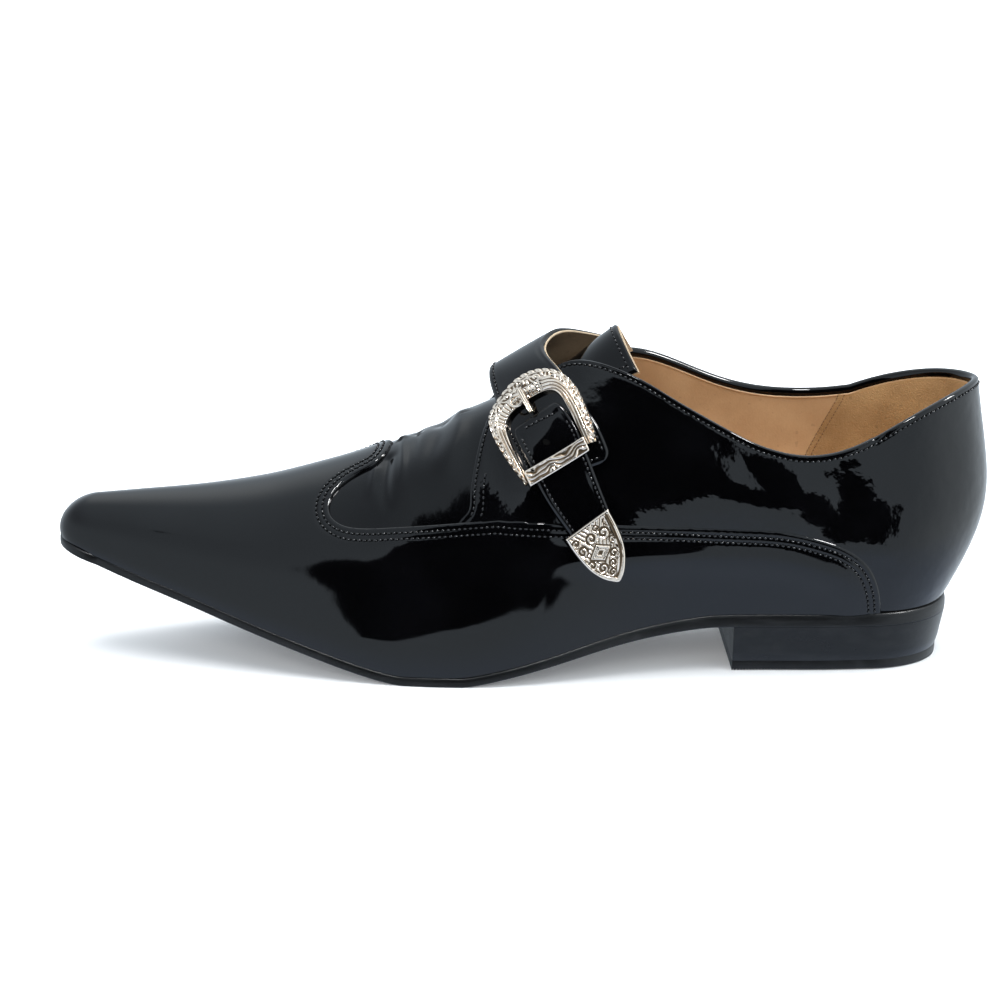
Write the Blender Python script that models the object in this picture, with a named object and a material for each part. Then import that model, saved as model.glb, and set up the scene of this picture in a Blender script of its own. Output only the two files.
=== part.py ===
"""A left dress shoe: pointed patent-leather monk shoe with a western buckle set.

Tables are in millimetres, measured from the toe tip, with -Y on the outer side of the foot.
"""

import bmesh
import bpy
import numpy as np

# Driving sizes, in millimetres
MM = 0.001
MID_X = 151.96
MID_Y = 1.35
GAP = 0.3
WALL = 1.8
QUARTER_STEP = 0.6
WING_STEP = 1.2
OVERLAY_ROOT = -0.6
SOLE_MARGIN = 1.5
TOE_POLE = 14.0
TOE_TIP = 1.9
THROAT = 144.0
THROAT_END = 168.0
HEEL_POLE = 262.0
HEEL_FOOT_BACK = 290.4
HEEL_TOP_BACK = 298.4
HEEL_TOP_HEIGHT = 91.3
HEEL_SEAT = 15.5
HEEL_BREAST = 219.5
LIFT_HEIGHT = 3.3
BALL_BACK = 150.0
BALL_THICKNESS = 3.0
SEAT_THICKNESS = 4.2
TOE_FULLNESS = 0.85
BACK_RISE = 1.5
BACK_TAPER = 1.15
INSOLE_THICKNESS = 2.0
STRAP_THICKNESS = 2.0
STRAP_STAND = 2.45
STRAP_END = 9.0
BILLET_THICKNESS = 1.6
BILLET_STAND = 1.4
BILLET_END = 30.0
KEEPER_ALONG = 4.7
KEEPER_LOW = -1.7
KEEPER_HIGH = 2.9
KEEPER_HALF_WIDTH = 10.2
KEEPER_PLATE = 1.3
KEEPER_WALL = 0.9
BUCKLE_ACROSS = -2.2
BUCKLE_SHEAR = 0.23
BUCKLE_HEIGHT = 2.6
TIP_THICKNESS = 1.4
TIP_BEVEL = 0.5
PRONG_THICKNESS = 1.8
TONGUE_THICKNESS = 1.8
TONGUE_ARCH = 1.8

# Reach of the side outlines beyond the shoe
PAST_TOE = -20.0
PAST_HEEL = 320.0
OVER_TOP = 130.0
UNDER_SOLE = -10.0
HALF_REACH = 80.0

# Mesh density
VAMP_STATIONS = 15
THROAT_STATIONS = 6
QUARTER_STATIONS = 12
TOE_RIBS = 4
HEEL_RIBS = 6
RIB_POINTS = 9
EDGE_SHARE = 0.014

# Bottom of the sole: from_toe, height. The ball and the heel seat are clipped flat.
SOLE_PROFILE = [
    (0, 37.0),
    (8, 33.8),
    (16, 30.8),
    (30, 25.9),
    (48, 19.8),
    (65, 13.9),
    (82, 8.3),
    (98, 3.4),
    (110, 0.5),
    (122, -0.6),
    (134, 0.1),
    (146, 2.4),
    (163, 6.4),
    (182, 11.2),
    (202, 14.5),
    (216, 15.7),
    (235, 15.8),
    (262, 15.8),
    (292, 15.8),
]

# Edge of the sole: outwards, share of its thickness
SOLE_EDGE_ROUND = [(-0.6, 0.0), (0.0, 0.3), (0.0, 0.7), (-0.5, 1.0)]

# Sides of the heel and of its tap: outwards from the upper's foot, height
HEEL_BLOCK = [(-1.2, LIFT_HEIGHT + GAP), (0.2, 9.5), (1.2, HEEL_SEAT - GAP)]
TOP_LIFT = [(-1.6, 0.0), (-1.2, LIFT_HEIGHT)]

# Where the upper meets the sole: from_toe, outer half-breadth, inner half-breadth
FEATHER = [
    (14, 11.2, 12.2),
    (26, 15.2, 17.4),
    (40, 19.4, 22.6),
    (60, 25.6, 30.4),
    (80, 31.4, 37.2),
    (100, 36.4, 42.0),
    (115, 39.2, 43.8),
    (135, 40.8, 41.2),
    (150, 39.8, 36.8),
    (170, 35.6, 30.4),
    (190, 30.8, 26.0),
    (210, 27.6, 24.2),
    (230, 26.8, 24.8),
    (250, 26.8, 25.6),
    (262, 26.0, 25.2),
]

# Ridge over the toe and vamp: from_toe, sideways, height
RIDGE = [
    (14, 0.5, 51.2),
    (32, 1.0, 52.5),
    (45, 1.2, 53.5),
    (58, 1.5, 55.0),
    (72, 1.8, 57.4),
    (85, 2.0, 60.7),
    (98, 2.0, 64.5),
    (111, 1.6, 69.4),
    (124, 1.0, 75.0),
    (137, 0.2, 81.2),
    (144, 0.0, 84.6),
]

# Top edge on the outer side: from_toe, outwards, height
OUTER_TOPLINE = [
    (144, 0.0, 84.6),
    (152, 8.0, 90.2),
    (160, 12.0, 95.3),
    (166, 14.0, 98.6),
    (172, 17.0, 99.6),
    (181, 21.0, 97.9),
    (190, 24.5, 94.3),
    (198.5, 27.0, 89.5),
    (207, 29.0, 84.8),
    (216, 30.5, 80.0),
    (224, 31.0, 76.0),
    (232, 31.2, 73.3),
    (240, 31.0, 72.0),
    (247, 30.3, 72.3),
    (256, 28.3, 74.4),
    (262, 26.6, 76.8),
]

# Top edge on the inner side, where the strap grows out of the quarter
INNER_TOPLINE = [
    (144, 0.0, 84.6),
    (149, 9.0, 85.4),
    (156, 14.5, 87.6),
    (168, 18.5, 91.8),
    (186, 22.5, 96.2),
    (204, 26.5, 91.2),
    (217, 29.0, 85.6),
    (231, 30.5, 81.8),
    (245, 30.3, 80.8),
    (256, 28.6, 81.6),
    (262, 27.2, 82.6),
]

# Shape of the wall's section: from_toe, foot lean, foot pull, top lean, top pull
SECTION = [
    (14, 76, 0.44, 0, 0.33),
    (45, 78, 0.46, 0, 0.30),
    (85, 79, 0.46, 0, 0.29),
    (120, 80, 0.47, 0, 0.27),
    (144, 81, 0.48, 4, 0.26),
    (160, 82, 0.45, 36, 0.34),
    (180, 82, 0.42, 58, 0.38),
    (205, 79, 0.42, 72, 0.42),
    (230, 76, 0.45, 80, 0.44),
    (262, 73, 0.48, 82, 0.46),
]
BACK_SECTION = (62, 0.53, 82, 0.48)

# Rear edge of the toe piece and its wings, seen from the side: from_toe, height
WING_SEAM = [
    (111.5, 73.0),
    (110.0, 69.6),
    (107.0, 65.8),
    (99.2, 61.3),
    (93.6, 57.8),
    (90.8, 54.0),
    (90.9, 51.2),
    (93.4, 49.0),
    (99.9, 47.9),
    (110.0, 48.8),
    (122.8, 50.4),
    (137.0, 52.2),
    (151.2, 53.2),
    (164.0, 52.8),
    (200.9, 50.6),
    (221.0, 49.5),
    (235.5, 48.4),
    (245.0, 46.1),
    (254.7, 42.2),
    (259.6, 38.6),
    (265.3, 28.0),
    (267.0, 12.0),
]

# Front edge of the quarters, seen from the side: from_toe, height
QUARTER_FRONT = [
    (131.2, 47.0),
    (132.4, 52.4),
    (134.9, 55.0),
    (135.5, 59.0),
    (136.7, 67.1),
    (140.4, 77.9),
    (144.2, 84.0),
    (149.0, 94.0),
]

# How far the quarters run in under the wings: from_toe, height
QUARTER_FOOT = [(PAST_HEEL, 5), (262, 5), (258, 30), (244, 40)]

# Tongue: from_toe, crown height, half-width, drop at the edges, edge set back
TONGUE = [
    (137, 76.6, 10.0, 2.6, 0.0),
    (146, 82.2, 12.0, 3.6, 0.0),
    (156, 89.2, 14.5, 5.2, 0.5),
    (167, 96.4, 17.0, 7.6, 2.0),
    (175, 103.0, 18.5, 9.6, 4.0),
    (182, 108.4, 19.5, 11.4, 6.0),
]

# Strap where it bridges the throat: front edge x, y, z, rear edge x, y, z, and crown across
STRAP_BRIDGE = [
    (148.4, 12.8, 88.0, 183.0, 19.2, 99.6, 0.6),
    (143.6, 9.0, 91.6, 172.5, 13.0, 103.6, 0.6),
    (141.6, 3.0, 92.8, 163.6, 5.5, 105.3, 0.4),
    (141.7, -4.0, 90.4, 158.9, -4.0, 102.2, 0.8),
    (143.4, -11.0, 86.0, 162.0, -15.4, 98.4, 1.6),
]

# Its run down the outer wall to the tip: front edge x, z and rear edge x, z
STRAP_WALL = [
    (147.5, 77.5, 171.0, 87.4),
    (151.5, 70.0, 176.2, 79.5),
    (154.5, 64.0, 179.0, 72.6),
    (158.5, 57.0, 181.4, 65.0),
    (164.5, 47.5, 184.6, 55.0),
    (170.5, 37.5, 187.6, 45.0),
    (176.0, 28.5, 190.4, 36.0),
]

# Edges of the billet on the strap's run: front along, front across, rear along, rear across, stand
BILLET = [
    (-8.6, -10.0, -14.0, 5.4, BILLET_STAND),
    (-3.0, -11.1, -4.0, 6.5, BILLET_STAND),
    (4.0, -11.1, 2.0, 6.6, BILLET_STAND),
    (10.2, -11.0, 7.8, 6.5, BILLET_STAND),
    (18.0, -10.0, 16.0, 6.2, 0.6),
    (25.6, -8.6, 23.0, 5.8, 0.0),
    (BILLET_END, -8.0, BILLET_END - 1.0, 5.3, -0.1),
]

# Metal tip: along at the front, across at the front, along at the rear, across at the rear
TIP = [
    (27.0, -10.0, 23.2, 6.6),
    (30.6, -9.6, 30.0, 6.4),
    (30.9, -9.5, 30.3, 6.4),
    (36.0, -8.4, 36.0, 5.7),
    (40.0, -7.0, 41.0, 4.0),
    (43.6, -4.4, 44.4, 2.2),
    (46.0, -1.6, 46.2, 0.4),
]

# Buckle's arch: controls of its outer and inner edge, across and up from the keeper
ARCH_OUTER = [(13.0, -0.3), (18.6, 8.0), (19.2, 33.2), (0.0, 33.2)]
ARCH_INNER = [(10.5, -0.3), (11.8, 7.0), (12.2, 24.4), (0.0, 24.4)]

# Prong: up from the keeper, height above the buckle's seat, half-width
PRONG = [
    (27.6, 2.6, 0.9),
    (25.4, 2.8, 1.2),
    (21.0, 2.5, 1.3),
    (16.8, 2.1, 1.0),
]


def spline(rows):
    """Natural cubic spline through a table whose first column is the running length."""
    table = np.array(rows, float)
    knots = table[:, 0]
    values = table[:, 1:]
    step = np.diff(knots)
    slope = np.diff(values, axis=0) / step[:, None]
    count = len(knots)
    system = np.eye(count)
    right = np.zeros_like(values)
    for i in range(1, count - 1):
        system[i, i - 1 : i + 2] = step[i - 1], 2 * (step[i - 1] + step[i]), step[i]
        right[i] = 6 * (slope[i] - slope[i - 1])
    bend = np.linalg.solve(system, right)

    def at(length):
        i = int(np.clip(np.searchsorted(knots, length) - 1, 0, count - 2))
        b = (length - knots[i]) / step[i]
        a = 1 - b
        curve = (a**3 - a) * bend[i] + (b**3 - b) * bend[i + 1]
        return a * values[i] + b * values[i + 1] + curve * step[i] ** 2 / 6

    return at


def spline_through(points):
    """The same spline run along a chain of points, from 0 at the first to 1 at the last."""
    points = np.array(points, float)
    run = np.r_[0, np.cumsum(np.linalg.norm(np.diff(points, axis=0), axis=1))]
    return spline(np.c_[run / run[-1], points])


sole_bottom_raw = spline(SOLE_PROFILE)
feather_at = spline(FEATHER)
ridge_at = spline(RIDGE)
topline_at = {-1: spline(OUTER_TOPLINE), 1: spline(INNER_TOPLINE)}
section_at = spline(SECTION)


def sole_bottom(x):
    height = max(sole_bottom_raw(max(x, 0.0))[0], 0.0)
    return float(min(height, HEEL_SEAT) if x > THROAT else height)


def sole_thickness(x):
    return float(np.interp(x, [BALL_BACK, HEEL_BREAST], [BALL_THICKNESS, SEAT_THICKNESS]))


def foot_height(x):
    return sole_bottom(x) + sole_thickness(x) + GAP


def feather(x, side):
    return side * feather_at(x)[0 if side < 0 else 1]


def wall_top(x, side):
    """Ridge point in front of the throat, top edge behind it."""
    if x <= THROAT:
        sideways, height = ridge_at(x)
        return np.array([x, sideways, height])
    sideways, height = topline_at[side](x)
    return np.array([x, side * sideways, height])


def rib(foot, top, out, section, share):
    """Point of a wall section, at a share of the way from the sole to the top."""
    foot_lean, foot_pull, top_lean, top_pull = section
    foot_lean, top_lean = np.radians(foot_lean), np.radians(top_lean)
    chord = np.linalg.norm(top - foot)
    up = np.array([0.0, 0.0, 1.0])
    leave = foot + foot_pull * chord * (np.cos(foot_lean) * out + np.sin(foot_lean) * up)
    arrive = top - top_pull * chord * (np.sin(top_lean) * up - np.cos(top_lean) * out)
    a, b = 1 - share, share
    return a**3 * foot + 3 * a * a * b * leave + 3 * a * b * b * arrive + b**3 * top


def station_rib(x, side):
    """Section across the shoe at one length."""
    foot = np.array([x, feather(x, side), foot_height(x)])
    top = wall_top(x, side)
    out = np.array([0.0, side, 0.0])
    return lambda share: rib(foot, top, out, section_at(x), share)


def toe_rib(turn, side):
    """Section of the toe's fan, from the side at turn 0 to straight ahead at turn 1."""
    angle = turn * np.pi / 2
    ahead, across = np.sin(angle) ** TOE_FULLNESS, np.cos(angle) ** TOE_FULLNESS
    x = TOE_POLE - (TOE_POLE - TOE_TIP) * ahead
    foot = np.array([x, feather(TOE_POLE, side) * across, foot_height(x)])
    out = np.array([-np.sin(angle), side * np.cos(angle), 0.0])
    return lambda share: rib(foot, wall_top(TOE_POLE, side), out, section_at(TOE_POLE), share)


def heel_rib(turn, side):
    """Section of the heel's fan, from the side at turn 0 to the back seam at turn 1."""
    angle = turn * np.pi / 2
    back, across = np.sin(angle), np.cos(angle)
    foot_x = HEEL_POLE + (HEEL_FOOT_BACK - HEEL_POLE) * back
    foot = np.array([foot_x, feather(HEEL_POLE, side) * across, foot_height(foot_x)])
    sideways, height = topline_at[side](HEEL_POLE)
    rise = 1 - (1 - back) ** BACK_RISE
    top_x = HEEL_POLE + (HEEL_TOP_BACK - HEEL_POLE) * back
    top_z = height + (HEEL_TOP_HEIGHT - height) * rise
    top = np.array([top_x, side * sideways * across**BACK_TAPER, top_z])
    out = np.array([back, side * across, 0.0])
    blend = back**2
    section = (1 - blend) * section_at(HEEL_POLE) + blend * np.array(BACK_SECTION)
    return lambda share: rib(foot, top, out, section, share)


def side_ribs(side):
    """Every section of one side, from straight ahead at the toe to the back seam."""
    toe = [toe_rib(turn, side) for turn in np.linspace(1, 0, TOE_RIBS + 1)[:-1]]
    vamp = np.linspace(TOE_POLE, THROAT, VAMP_STATIONS)
    throat = np.linspace(THROAT, THROAT_END, THROAT_STATIONS)[1:]
    quarter = np.linspace(THROAT_END, HEEL_POLE, QUARTER_STATIONS)[1:]
    walls = [station_rib(x, side) for x in np.r_[vamp, throat, quarter]]
    heel = [heel_rib(turn, side) for turn in np.linspace(0, 1, HEEL_RIBS + 1)[1:]]
    return toe + walls + heel


def on_wall(x, z, side=-1):
    """Point of the outer wall that is seen at this length and height."""
    section = station_rib(x, side)
    low, high = 0.0, 1.0
    for _ in range(40):
        middle = (low + high) / 2
        if section(middle)[2] < z:
            low = middle
        else:
            high = middle
    return section(low)


def off_wall(x, z, stand, side=-1):
    """The same point, set off from the wall along its normal."""
    step = 0.5
    along = on_wall(x + step, z, side) - on_wall(x - step, z, side)
    up = on_wall(x, z + step, side) - on_wall(x, z - step, side)
    normal = np.cross(along, up) * -side
    return on_wall(x, z, side) + stand * normal / np.linalg.norm(normal)


def material(name, colour, roughness, metallic=0.0):
    made = bpy.data.materials.new(name)
    made.use_nodes = True
    shader = made.node_tree.nodes["Principled BSDF"]
    shader.inputs["Base Color"].default_value = (*colour, 1.0)
    shader.inputs["Roughness"].default_value = roughness
    shader.inputs["Metallic"].default_value = metallic
    return made


def place(points):
    """Millimetres from the toe tip to metres about the middle of the shoe."""
    return (np.asarray(points, float) - (MID_X, MID_Y, 0.0)) * MM


def add_object(name, points, faces, finish):
    """One closed object with its faces turned outwards."""
    mesh = bpy.data.meshes.new(name)
    mesh.from_pydata(place(points).tolist(), [], faces)
    work = bmesh.new()
    work.from_mesh(mesh)
    bmesh.ops.remove_doubles(work, verts=work.verts, dist=1e-6)
    bmesh.ops.recalc_face_normals(work, faces=work.faces)
    work.to_mesh(mesh)
    work.free()
    mesh.shade_smooth()
    mesh.set_sharp_from_angle(angle=np.radians(40))
    made = bpy.data.objects.new(name, mesh)
    bpy.context.scene.collection.objects.link(made)
    made.parent = SHOE
    if finish:
        mesh.materials.append(finish)
    return made


def add_helper(name, points, faces):
    """A form that only cuts or joins others."""
    made = add_object(name, points, faces, None)
    made.hide_render = True
    made.display_type = "WIRE"
    return made


def combine(target, other, operation):
    modifier = target.modifiers.new(other.name, "BOOLEAN")
    modifier.operation = operation
    modifier.solver = "EXACT"
    modifier.object = other


class Skin:
    """An open sheet of shared points and faces, from which a closed wall is made."""

    def __init__(self):
        self.points = []
        self.faces = []
        self.known = {}

    def point(self, at):
        key = tuple(np.round(at, 5))
        if key not in self.known:
            self.known[key] = len(self.points)
            self.points.append(np.array(at, float))
        return self.known[key]

    def face(self, corners):
        corners = list(dict.fromkeys(corners))
        if len(corners) > 2:
            self.faces.append(corners)

    def strip(self, grid):
        """Faces between neighbouring rows of a grid of points."""
        rows = [[self.point(at) for at in row] for row in grid]
        for row, after in zip(rows, rows[1:]):
            for k in range(len(row) - 1):
                self.face([row[k], after[k], after[k + 1]])
                self.face([row[k], after[k + 1], row[k + 1]])

    def normals(self):
        total = np.zeros((len(self.points), 3))
        for face in self.faces:
            corners = np.array([self.points[i] for i in face])
            spread = np.roll(corners, -1, axis=0)
            normal = np.cross(corners, spread).sum(axis=0)
            total[face] += normal / max(np.linalg.norm(normal), 1e-9)
        return total / np.linalg.norm(total, axis=1)[:, None]

    def rim(self):
        """Edges that belong to one face only."""
        edges = {}
        for face in self.faces:
            for edge in zip(face, face[1:] + face[:1]):
                edges[edge] = edges.get(edge, 0) + 1
        return [edge for edge in edges if edge[::-1] not in edges]

    def wall(self, low, high):
        """Points and faces of the closed wall between two offsets."""
        count = len(self.points)
        base, normals = np.array(self.points), self.normals()
        points = np.r_[base + high * normals, base + low * normals]
        faces = [list(face) for face in self.faces]
        faces += [[i + count for i in reversed(face)] for face in self.faces]
        faces += [[b, a, a + count, b + count] for a, b in self.rim()]
        return points, faces


def upper_skin(whole):
    """Outer surface of the upper, whole or without a narrow strip along each edge."""
    skin = Skin()
    edge = 0.0 if whole else EDGE_SHARE
    shares = np.r_[edge, np.linspace(0, 1, RIB_POINTS + 1)[1:-1], 1 - edge]
    outer = [[section(share) for share in shares] for section in side_ribs(-1)]
    inner = [[section(share) for share in shares] for section in side_ribs(1)]
    skin.strip(outer)
    skin.strip([row[::-1] for row in inner])
    return skin


def side_prism(name, outline):
    """A form with this outline from the side, wide enough to span the shoe."""
    count = len(outline)
    near = [(x, -HALF_REACH, z) for x, z in outline]
    far = [(x, HALF_REACH, z) for x, z in outline]
    faces = [list(range(count)), list(range(2 * count - 1, count - 1, -1))]
    faces += [[i, (i + 1) % count, (i + 1) % count + count, i + count] for i in range(count)]
    return add_helper(name, near + far, faces)


def make_upper():
    """Hollow upper: a wall with the quarters and the toe piece raised on it."""
    upper = add_object("upper", *upper_skin(whole=True).wall(-WALL, 0.0), PATENT)
    overlay = upper_skin(whole=False)

    quarter_edge = spline_through(QUARTER_FRONT)
    front = [tuple(quarter_edge(share)) for share in np.linspace(0, 1, 13)]
    quarters = add_helper("quarter_layer", *overlay.wall(OVERLAY_ROOT, QUARTER_STEP))
    outline = front + [(THROAT, OVER_TOP), (PAST_HEEL, OVER_TOP)] + QUARTER_FOOT
    combine(quarters, side_prism("quarter_outline", outline), "INTERSECT")
    combine(upper, quarters, "UNION")

    seam = spline_through(WING_SEAM)
    edge = [tuple(seam(share)) for share in np.linspace(0, 1, 61)]
    wings = add_helper("wing_layer", *overlay.wall(OVERLAY_ROOT, WING_STEP))
    outline = [(edge[0][0], OVER_TOP), *edge, (edge[-1][0], UNDER_SOLE)]
    outline += [(PAST_TOE, UNDER_SOLE), (PAST_TOE, OVER_TOP)]
    combine(wings, side_prism("wing_outline", outline), "INTERSECT")
    combine(upper, wings, "UNION")


def outline_points(margin, start=0.0):
    """Plan outline of one level: matching rows on the outer and the inner side."""
    sides = []
    for side in (-1, 1):
        feet = np.array([section(0.0) for section in side_ribs(side)])
        along = np.gradient(feet[:, :2], axis=0)
        along[0] = along[-1] = (0, side)
        along[-1] *= -1
        out = np.c_[-along[:, 1], along[:, 0]] * side
        out /= np.linalg.norm(out, axis=1)[:, None]
        sides.append(feet[:, :2] + margin * out)
    outer, inner = sides
    outer[[0, -1], 1] = inner[[0, -1], 1] = (outer[[0, -1], 1] + inner[[0, -1], 1]) / 2
    if start:
        keep = outer[:, 0] > start + 1.0
        widths = [np.interp(start, row[:, 0], row[:, 1]) for row in (outer, inner)]
        outer = np.r_[[(start, widths[0])], outer[keep]]
        inner = np.r_[[(start, widths[1])], inner[keep]]
    return outer, inner


def stacked(levels):
    """Closed solid through levels, each an outer row, an inner row and a height of x."""
    points, loops, ladders = [], [], []
    for outer, inner, height in levels:
        start = len(points)
        points += [(x, y, height(x)) for x, y in outer]
        points += [(x, y, height(x)) for x, y in inner]
        count = len(outer)
        outer_row = list(range(start, start + count))
        inner_row = list(range(start + count, start + 2 * count))
        ladders.append((outer_row, inner_row))
        loops.append(outer_row + inner_row[::-1])
    faces = []
    for lower, upper in zip(loops, loops[1:]):
        for k in range(len(lower)):
            after = (k + 1) % len(lower)
            faces.append([lower[k], lower[after], upper[after], upper[k]])
    for outer_row, inner_row in (ladders[0], ladders[-1]):
        for k in range(len(outer_row) - 1):
            faces.append([outer_row[k], outer_row[k + 1], inner_row[k + 1], inner_row[k]])
    return points, faces


def make_outsole():
    """Thin sole with a rounded edge, toe spring, waist and heel seat."""
    levels = []
    for inset, share in SOLE_EDGE_ROUND:
        outer, inner = outline_points(SOLE_MARGIN + inset)
        levels.append((outer, inner, lambda x, s=share: sole_bottom(x) + s * sole_thickness(x)))
    add_object("outsole", *stacked(levels), SOLE_EDGE)


def make_heel():
    """Low heel with a straight breast, tapered to its tap."""
    for name, rows, finish in (("heel", HEEL_BLOCK, HEEL_STACK), ("top_lift", TOP_LIFT, RUBBER)):
        levels = []
        for margin, height in rows:
            outer, inner = outline_points(margin, HEEL_BREAST)
            levels.append((outer, inner, lambda x, h=height: h))
        add_object(name, *stacked(levels), finish)


def make_insole():
    """Board that closes the upper from inside."""
    levels = []
    for lift in (GAP, GAP + INSOLE_THICKNESS):
        outer, inner = outline_points(-WALL - 2 * GAP)
        levels.append((outer, inner, lambda x, d=lift: foot_height(x) - GAP + d))
    add_object("insole", *stacked(levels), LINING)


def make_tongue():
    """Arched tongue that comes up out of the throat."""
    shape = spline(TONGUE)
    skin = Skin()
    rows = []
    for x in np.linspace(TONGUE[0][0], TONGUE[-1][0], 12):
        crown, half_width, drop, set_back = shape(x)
        row = []
        for across in np.linspace(-1, 1, 11):
            low = drop * abs(across) ** TONGUE_ARCH
            row.append((x + set_back * across**2, across * half_width, crown - low))
        rows.append(row)
    skin.strip(rows)
    add_object("tongue", *skin.wall(-TONGUE_THICKNESS, 0.0), PATENT)


class StrapRun:
    """The strap's middle surface, read by length from the keeper and millimetres across."""

    def __init__(self):
        rows = []
        for *edges, crown in STRAP_BRIDGE:
            front, rear = np.array(edges).reshape(2, 3)
            rows.append([front, (front + rear) / 2 + (0, 0, crown), rear])
        for edges in STRAP_WALL:
            front, rear = np.array(edges).reshape(2, 2)
            rows.append([off_wall(*spot, STRAP_STAND) for spot in (front, (front + rear) / 2, rear)])
        rows = np.array(rows)
        run = np.r_[0, np.cumsum(np.linalg.norm(np.diff(rows[:, 1], axis=0), axis=1))]
        self.zero = run[len(STRAP_BRIDGE) + 1]
        self.start = run[0] - self.zero
        self.row_at = spline(np.c_[run - self.zero, rows.reshape(-1, 9)])

    def half_width(self, along):
        front, _, rear = self.row_at(along).reshape(3, 3)
        return np.linalg.norm(rear - front) / 2

    def surface(self, along, across):
        front, middle, rear = self.row_at(along).reshape(3, 3)
        share = across / self.half_width(along)
        bulge = middle - (front + rear) / 2
        return (front + rear + share * (rear - front)) / 2 + (1 - share**2) * bulge

    def at(self, along, across, height=0.0):
        step = 0.5
        ahead = self.surface(along + step, across) - self.surface(along - step, across)
        aside = self.surface(along, across + step) - self.surface(along, across - step)
        normal = np.cross(ahead, aside)
        return self.surface(along, across) + height * normal / np.linalg.norm(normal)


def make_strap(run):
    """Strap from the inner quarter over the instep, sewn down under the buckle."""
    skin = Skin()
    rows = []
    for along in np.linspace(run.start, STRAP_END, 25):
        half = run.half_width(along)
        rows.append([run.at(along, across) for across in np.linspace(-half, half, 7)])
    skin.strip(rows)
    half = STRAP_THICKNESS / 2
    add_object("strap", *skin.wall(-half, half), PATENT)


def loft(rings):
    """Closed solid through rings of points, with flat ends."""
    count = len(rings[0])
    points = [at for ring in rings for at in ring]
    faces = [list(range(count)), list(range(len(points) - count, len(points)))]
    for start in range(0, len(points) - count, count):
        for k in range(count):
            after = (k + 1) % count
            faces.append([start + k, start + after, start + after + count, start + k + count])
    return points, faces


def make_billet(run):
    """Short strap that starts inside the buckle and ends in the metal tip."""
    table = np.array(BILLET, float)
    edges = spline(np.c_[np.arange(len(table)), table])
    rings = []
    for step in np.linspace(0, len(table) - 1, 15):
        front_along, front, rear_along, rear, stand = edges(step)
        shares = np.linspace(0, 1, 5)
        spots = [(front_along + w * (rear_along - front_along), front + w * (rear - front)) for w in shares]
        low = [run.at(along, across, stand) for along, across in spots]
        high = [run.at(along, across, stand + BILLET_THICKNESS) for along, across in spots]
        rings.append(low + high[::-1])
    add_object("billet", *loft(rings), PATENT)


def make_tip(run):
    """Pointed metal cap on the end of the billet."""
    rings = []
    for index, (front_along, front, rear_along, rear) in enumerate(TIP):
        top = BILLET_THICKNESS + GAP + TIP_THICKNESS
        bottom = BILLET_THICKNESS + GAP if index < 2 else -0.1
        shares = np.linspace(0, 1, 5)
        section = [(share, bottom) for share in shares]
        section += [(share, top - TIP_BEVEL * (share in (0, 1))) for share in shares[::-1]]
        ring = []
        for share, height in section:
            along = front_along + share * (rear_along - front_along)
            ring.append(run.at(along, front + share * (rear - front), height))
        rings.append(ring)
    add_object("strap_tip", *loft(rings), NICKEL)


class BuckleSeat:
    """Seat of the buckle set on the strap: millimetres across, up from the keeper, and off the strap."""

    def __init__(self, run):
        self.run = run

    def at(self, across, up, height):
        along = KEEPER_ALONG - up - BUCKLE_SHEAR * across
        return self.run.at(along, BUCKLE_ACROSS + across, STRAP_THICKNESS / 2 + GAP + height)


def bezier(controls, share):
    p0, p1, p2, p3 = np.array(controls, float)
    a, b = 1 - share, share
    return a**3 * p0 + 3 * a * a * b * p1 + 3 * a * b * b * p2 + b**3 * p3


def make_buckle(run):
    """Arched frame and its prong."""
    seat = BuckleSeat(run)
    rings = []
    for share in np.linspace(-1, 1, 25):
        side = 1 if share > 0 else -1
        outer = bezier(ARCH_OUTER, 1 - abs(share)) * (side, 1)
        inner = bezier(ARCH_INNER, 1 - abs(share)) * (side, 1)
        ring = []
        for width, height in ((0, 0.0), (1, 0.0), (1, 0.55), (0.6, 1.0), (0, 0.4)):
            across, up = inner + width * (outer - inner)
            ring.append(seat.at(across, up, height * BUCKLE_HEIGHT))
        rings.append(ring)
    add_object("buckle_frame", *loft(rings), NICKEL)

    rings = []
    for up, height, half in PRONG:
        spots = ((-half, 0.0), (half, 0.0), (half, 0.6), (0.0, 1.0), (-half, 0.6))
        rings.append([seat.at(across, up, height + part * PRONG_THICKNESS) for across, part in spots])
    add_object("buckle_prong", *loft(rings), NICKEL)


def make_keeper(run):
    """Bridge over the billet between the buckle's legs."""
    seat = BuckleSeat(run)
    outside, inside = KEEPER_HALF_WIDTH, KEEPER_HALF_WIDTH - KEEPER_WALL
    under = BILLET_STAND + BILLET_THICKNESS - STRAP_THICKNESS / 2
    top_spots = np.linspace(-outside, outside, 7)
    under_spots = np.linspace(inside, -inside, 7)
    bridge = [(-outside, 0), *[(a, under + KEEPER_PLATE) for a in top_spots], (outside, 0)]
    bridge += [(inside, 0), *[(a, under) for a in under_spots], (-inside, 0)]
    ends = (KEEPER_LOW, KEEPER_HIGH)
    rings = [[seat.at(across, up, height) for across, height in bridge] for up in ends]
    add_object("keeper", *loft(rings), NICKEL)


for old in list(bpy.data.objects):
    bpy.data.objects.remove(old)

PATENT = material("patent_leather", (0.012, 0.012, 0.013), 0.08)
SOLE_EDGE = material("sole_edge", (0.02, 0.02, 0.021), 0.45)
HEEL_STACK = material("heel_stack", (0.016, 0.016, 0.017), 0.35)
RUBBER = material("top_lift_rubber", (0.02, 0.02, 0.02), 0.7)
LINING = material("tan_lining", (0.55, 0.33, 0.18), 0.7)
NICKEL = material("nickel", (0.62, 0.6, 0.57), 0.25, 1.0)

SHOE = bpy.data.objects.new("shoe", None)
bpy.context.scene.collection.objects.link(SHOE)

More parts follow.
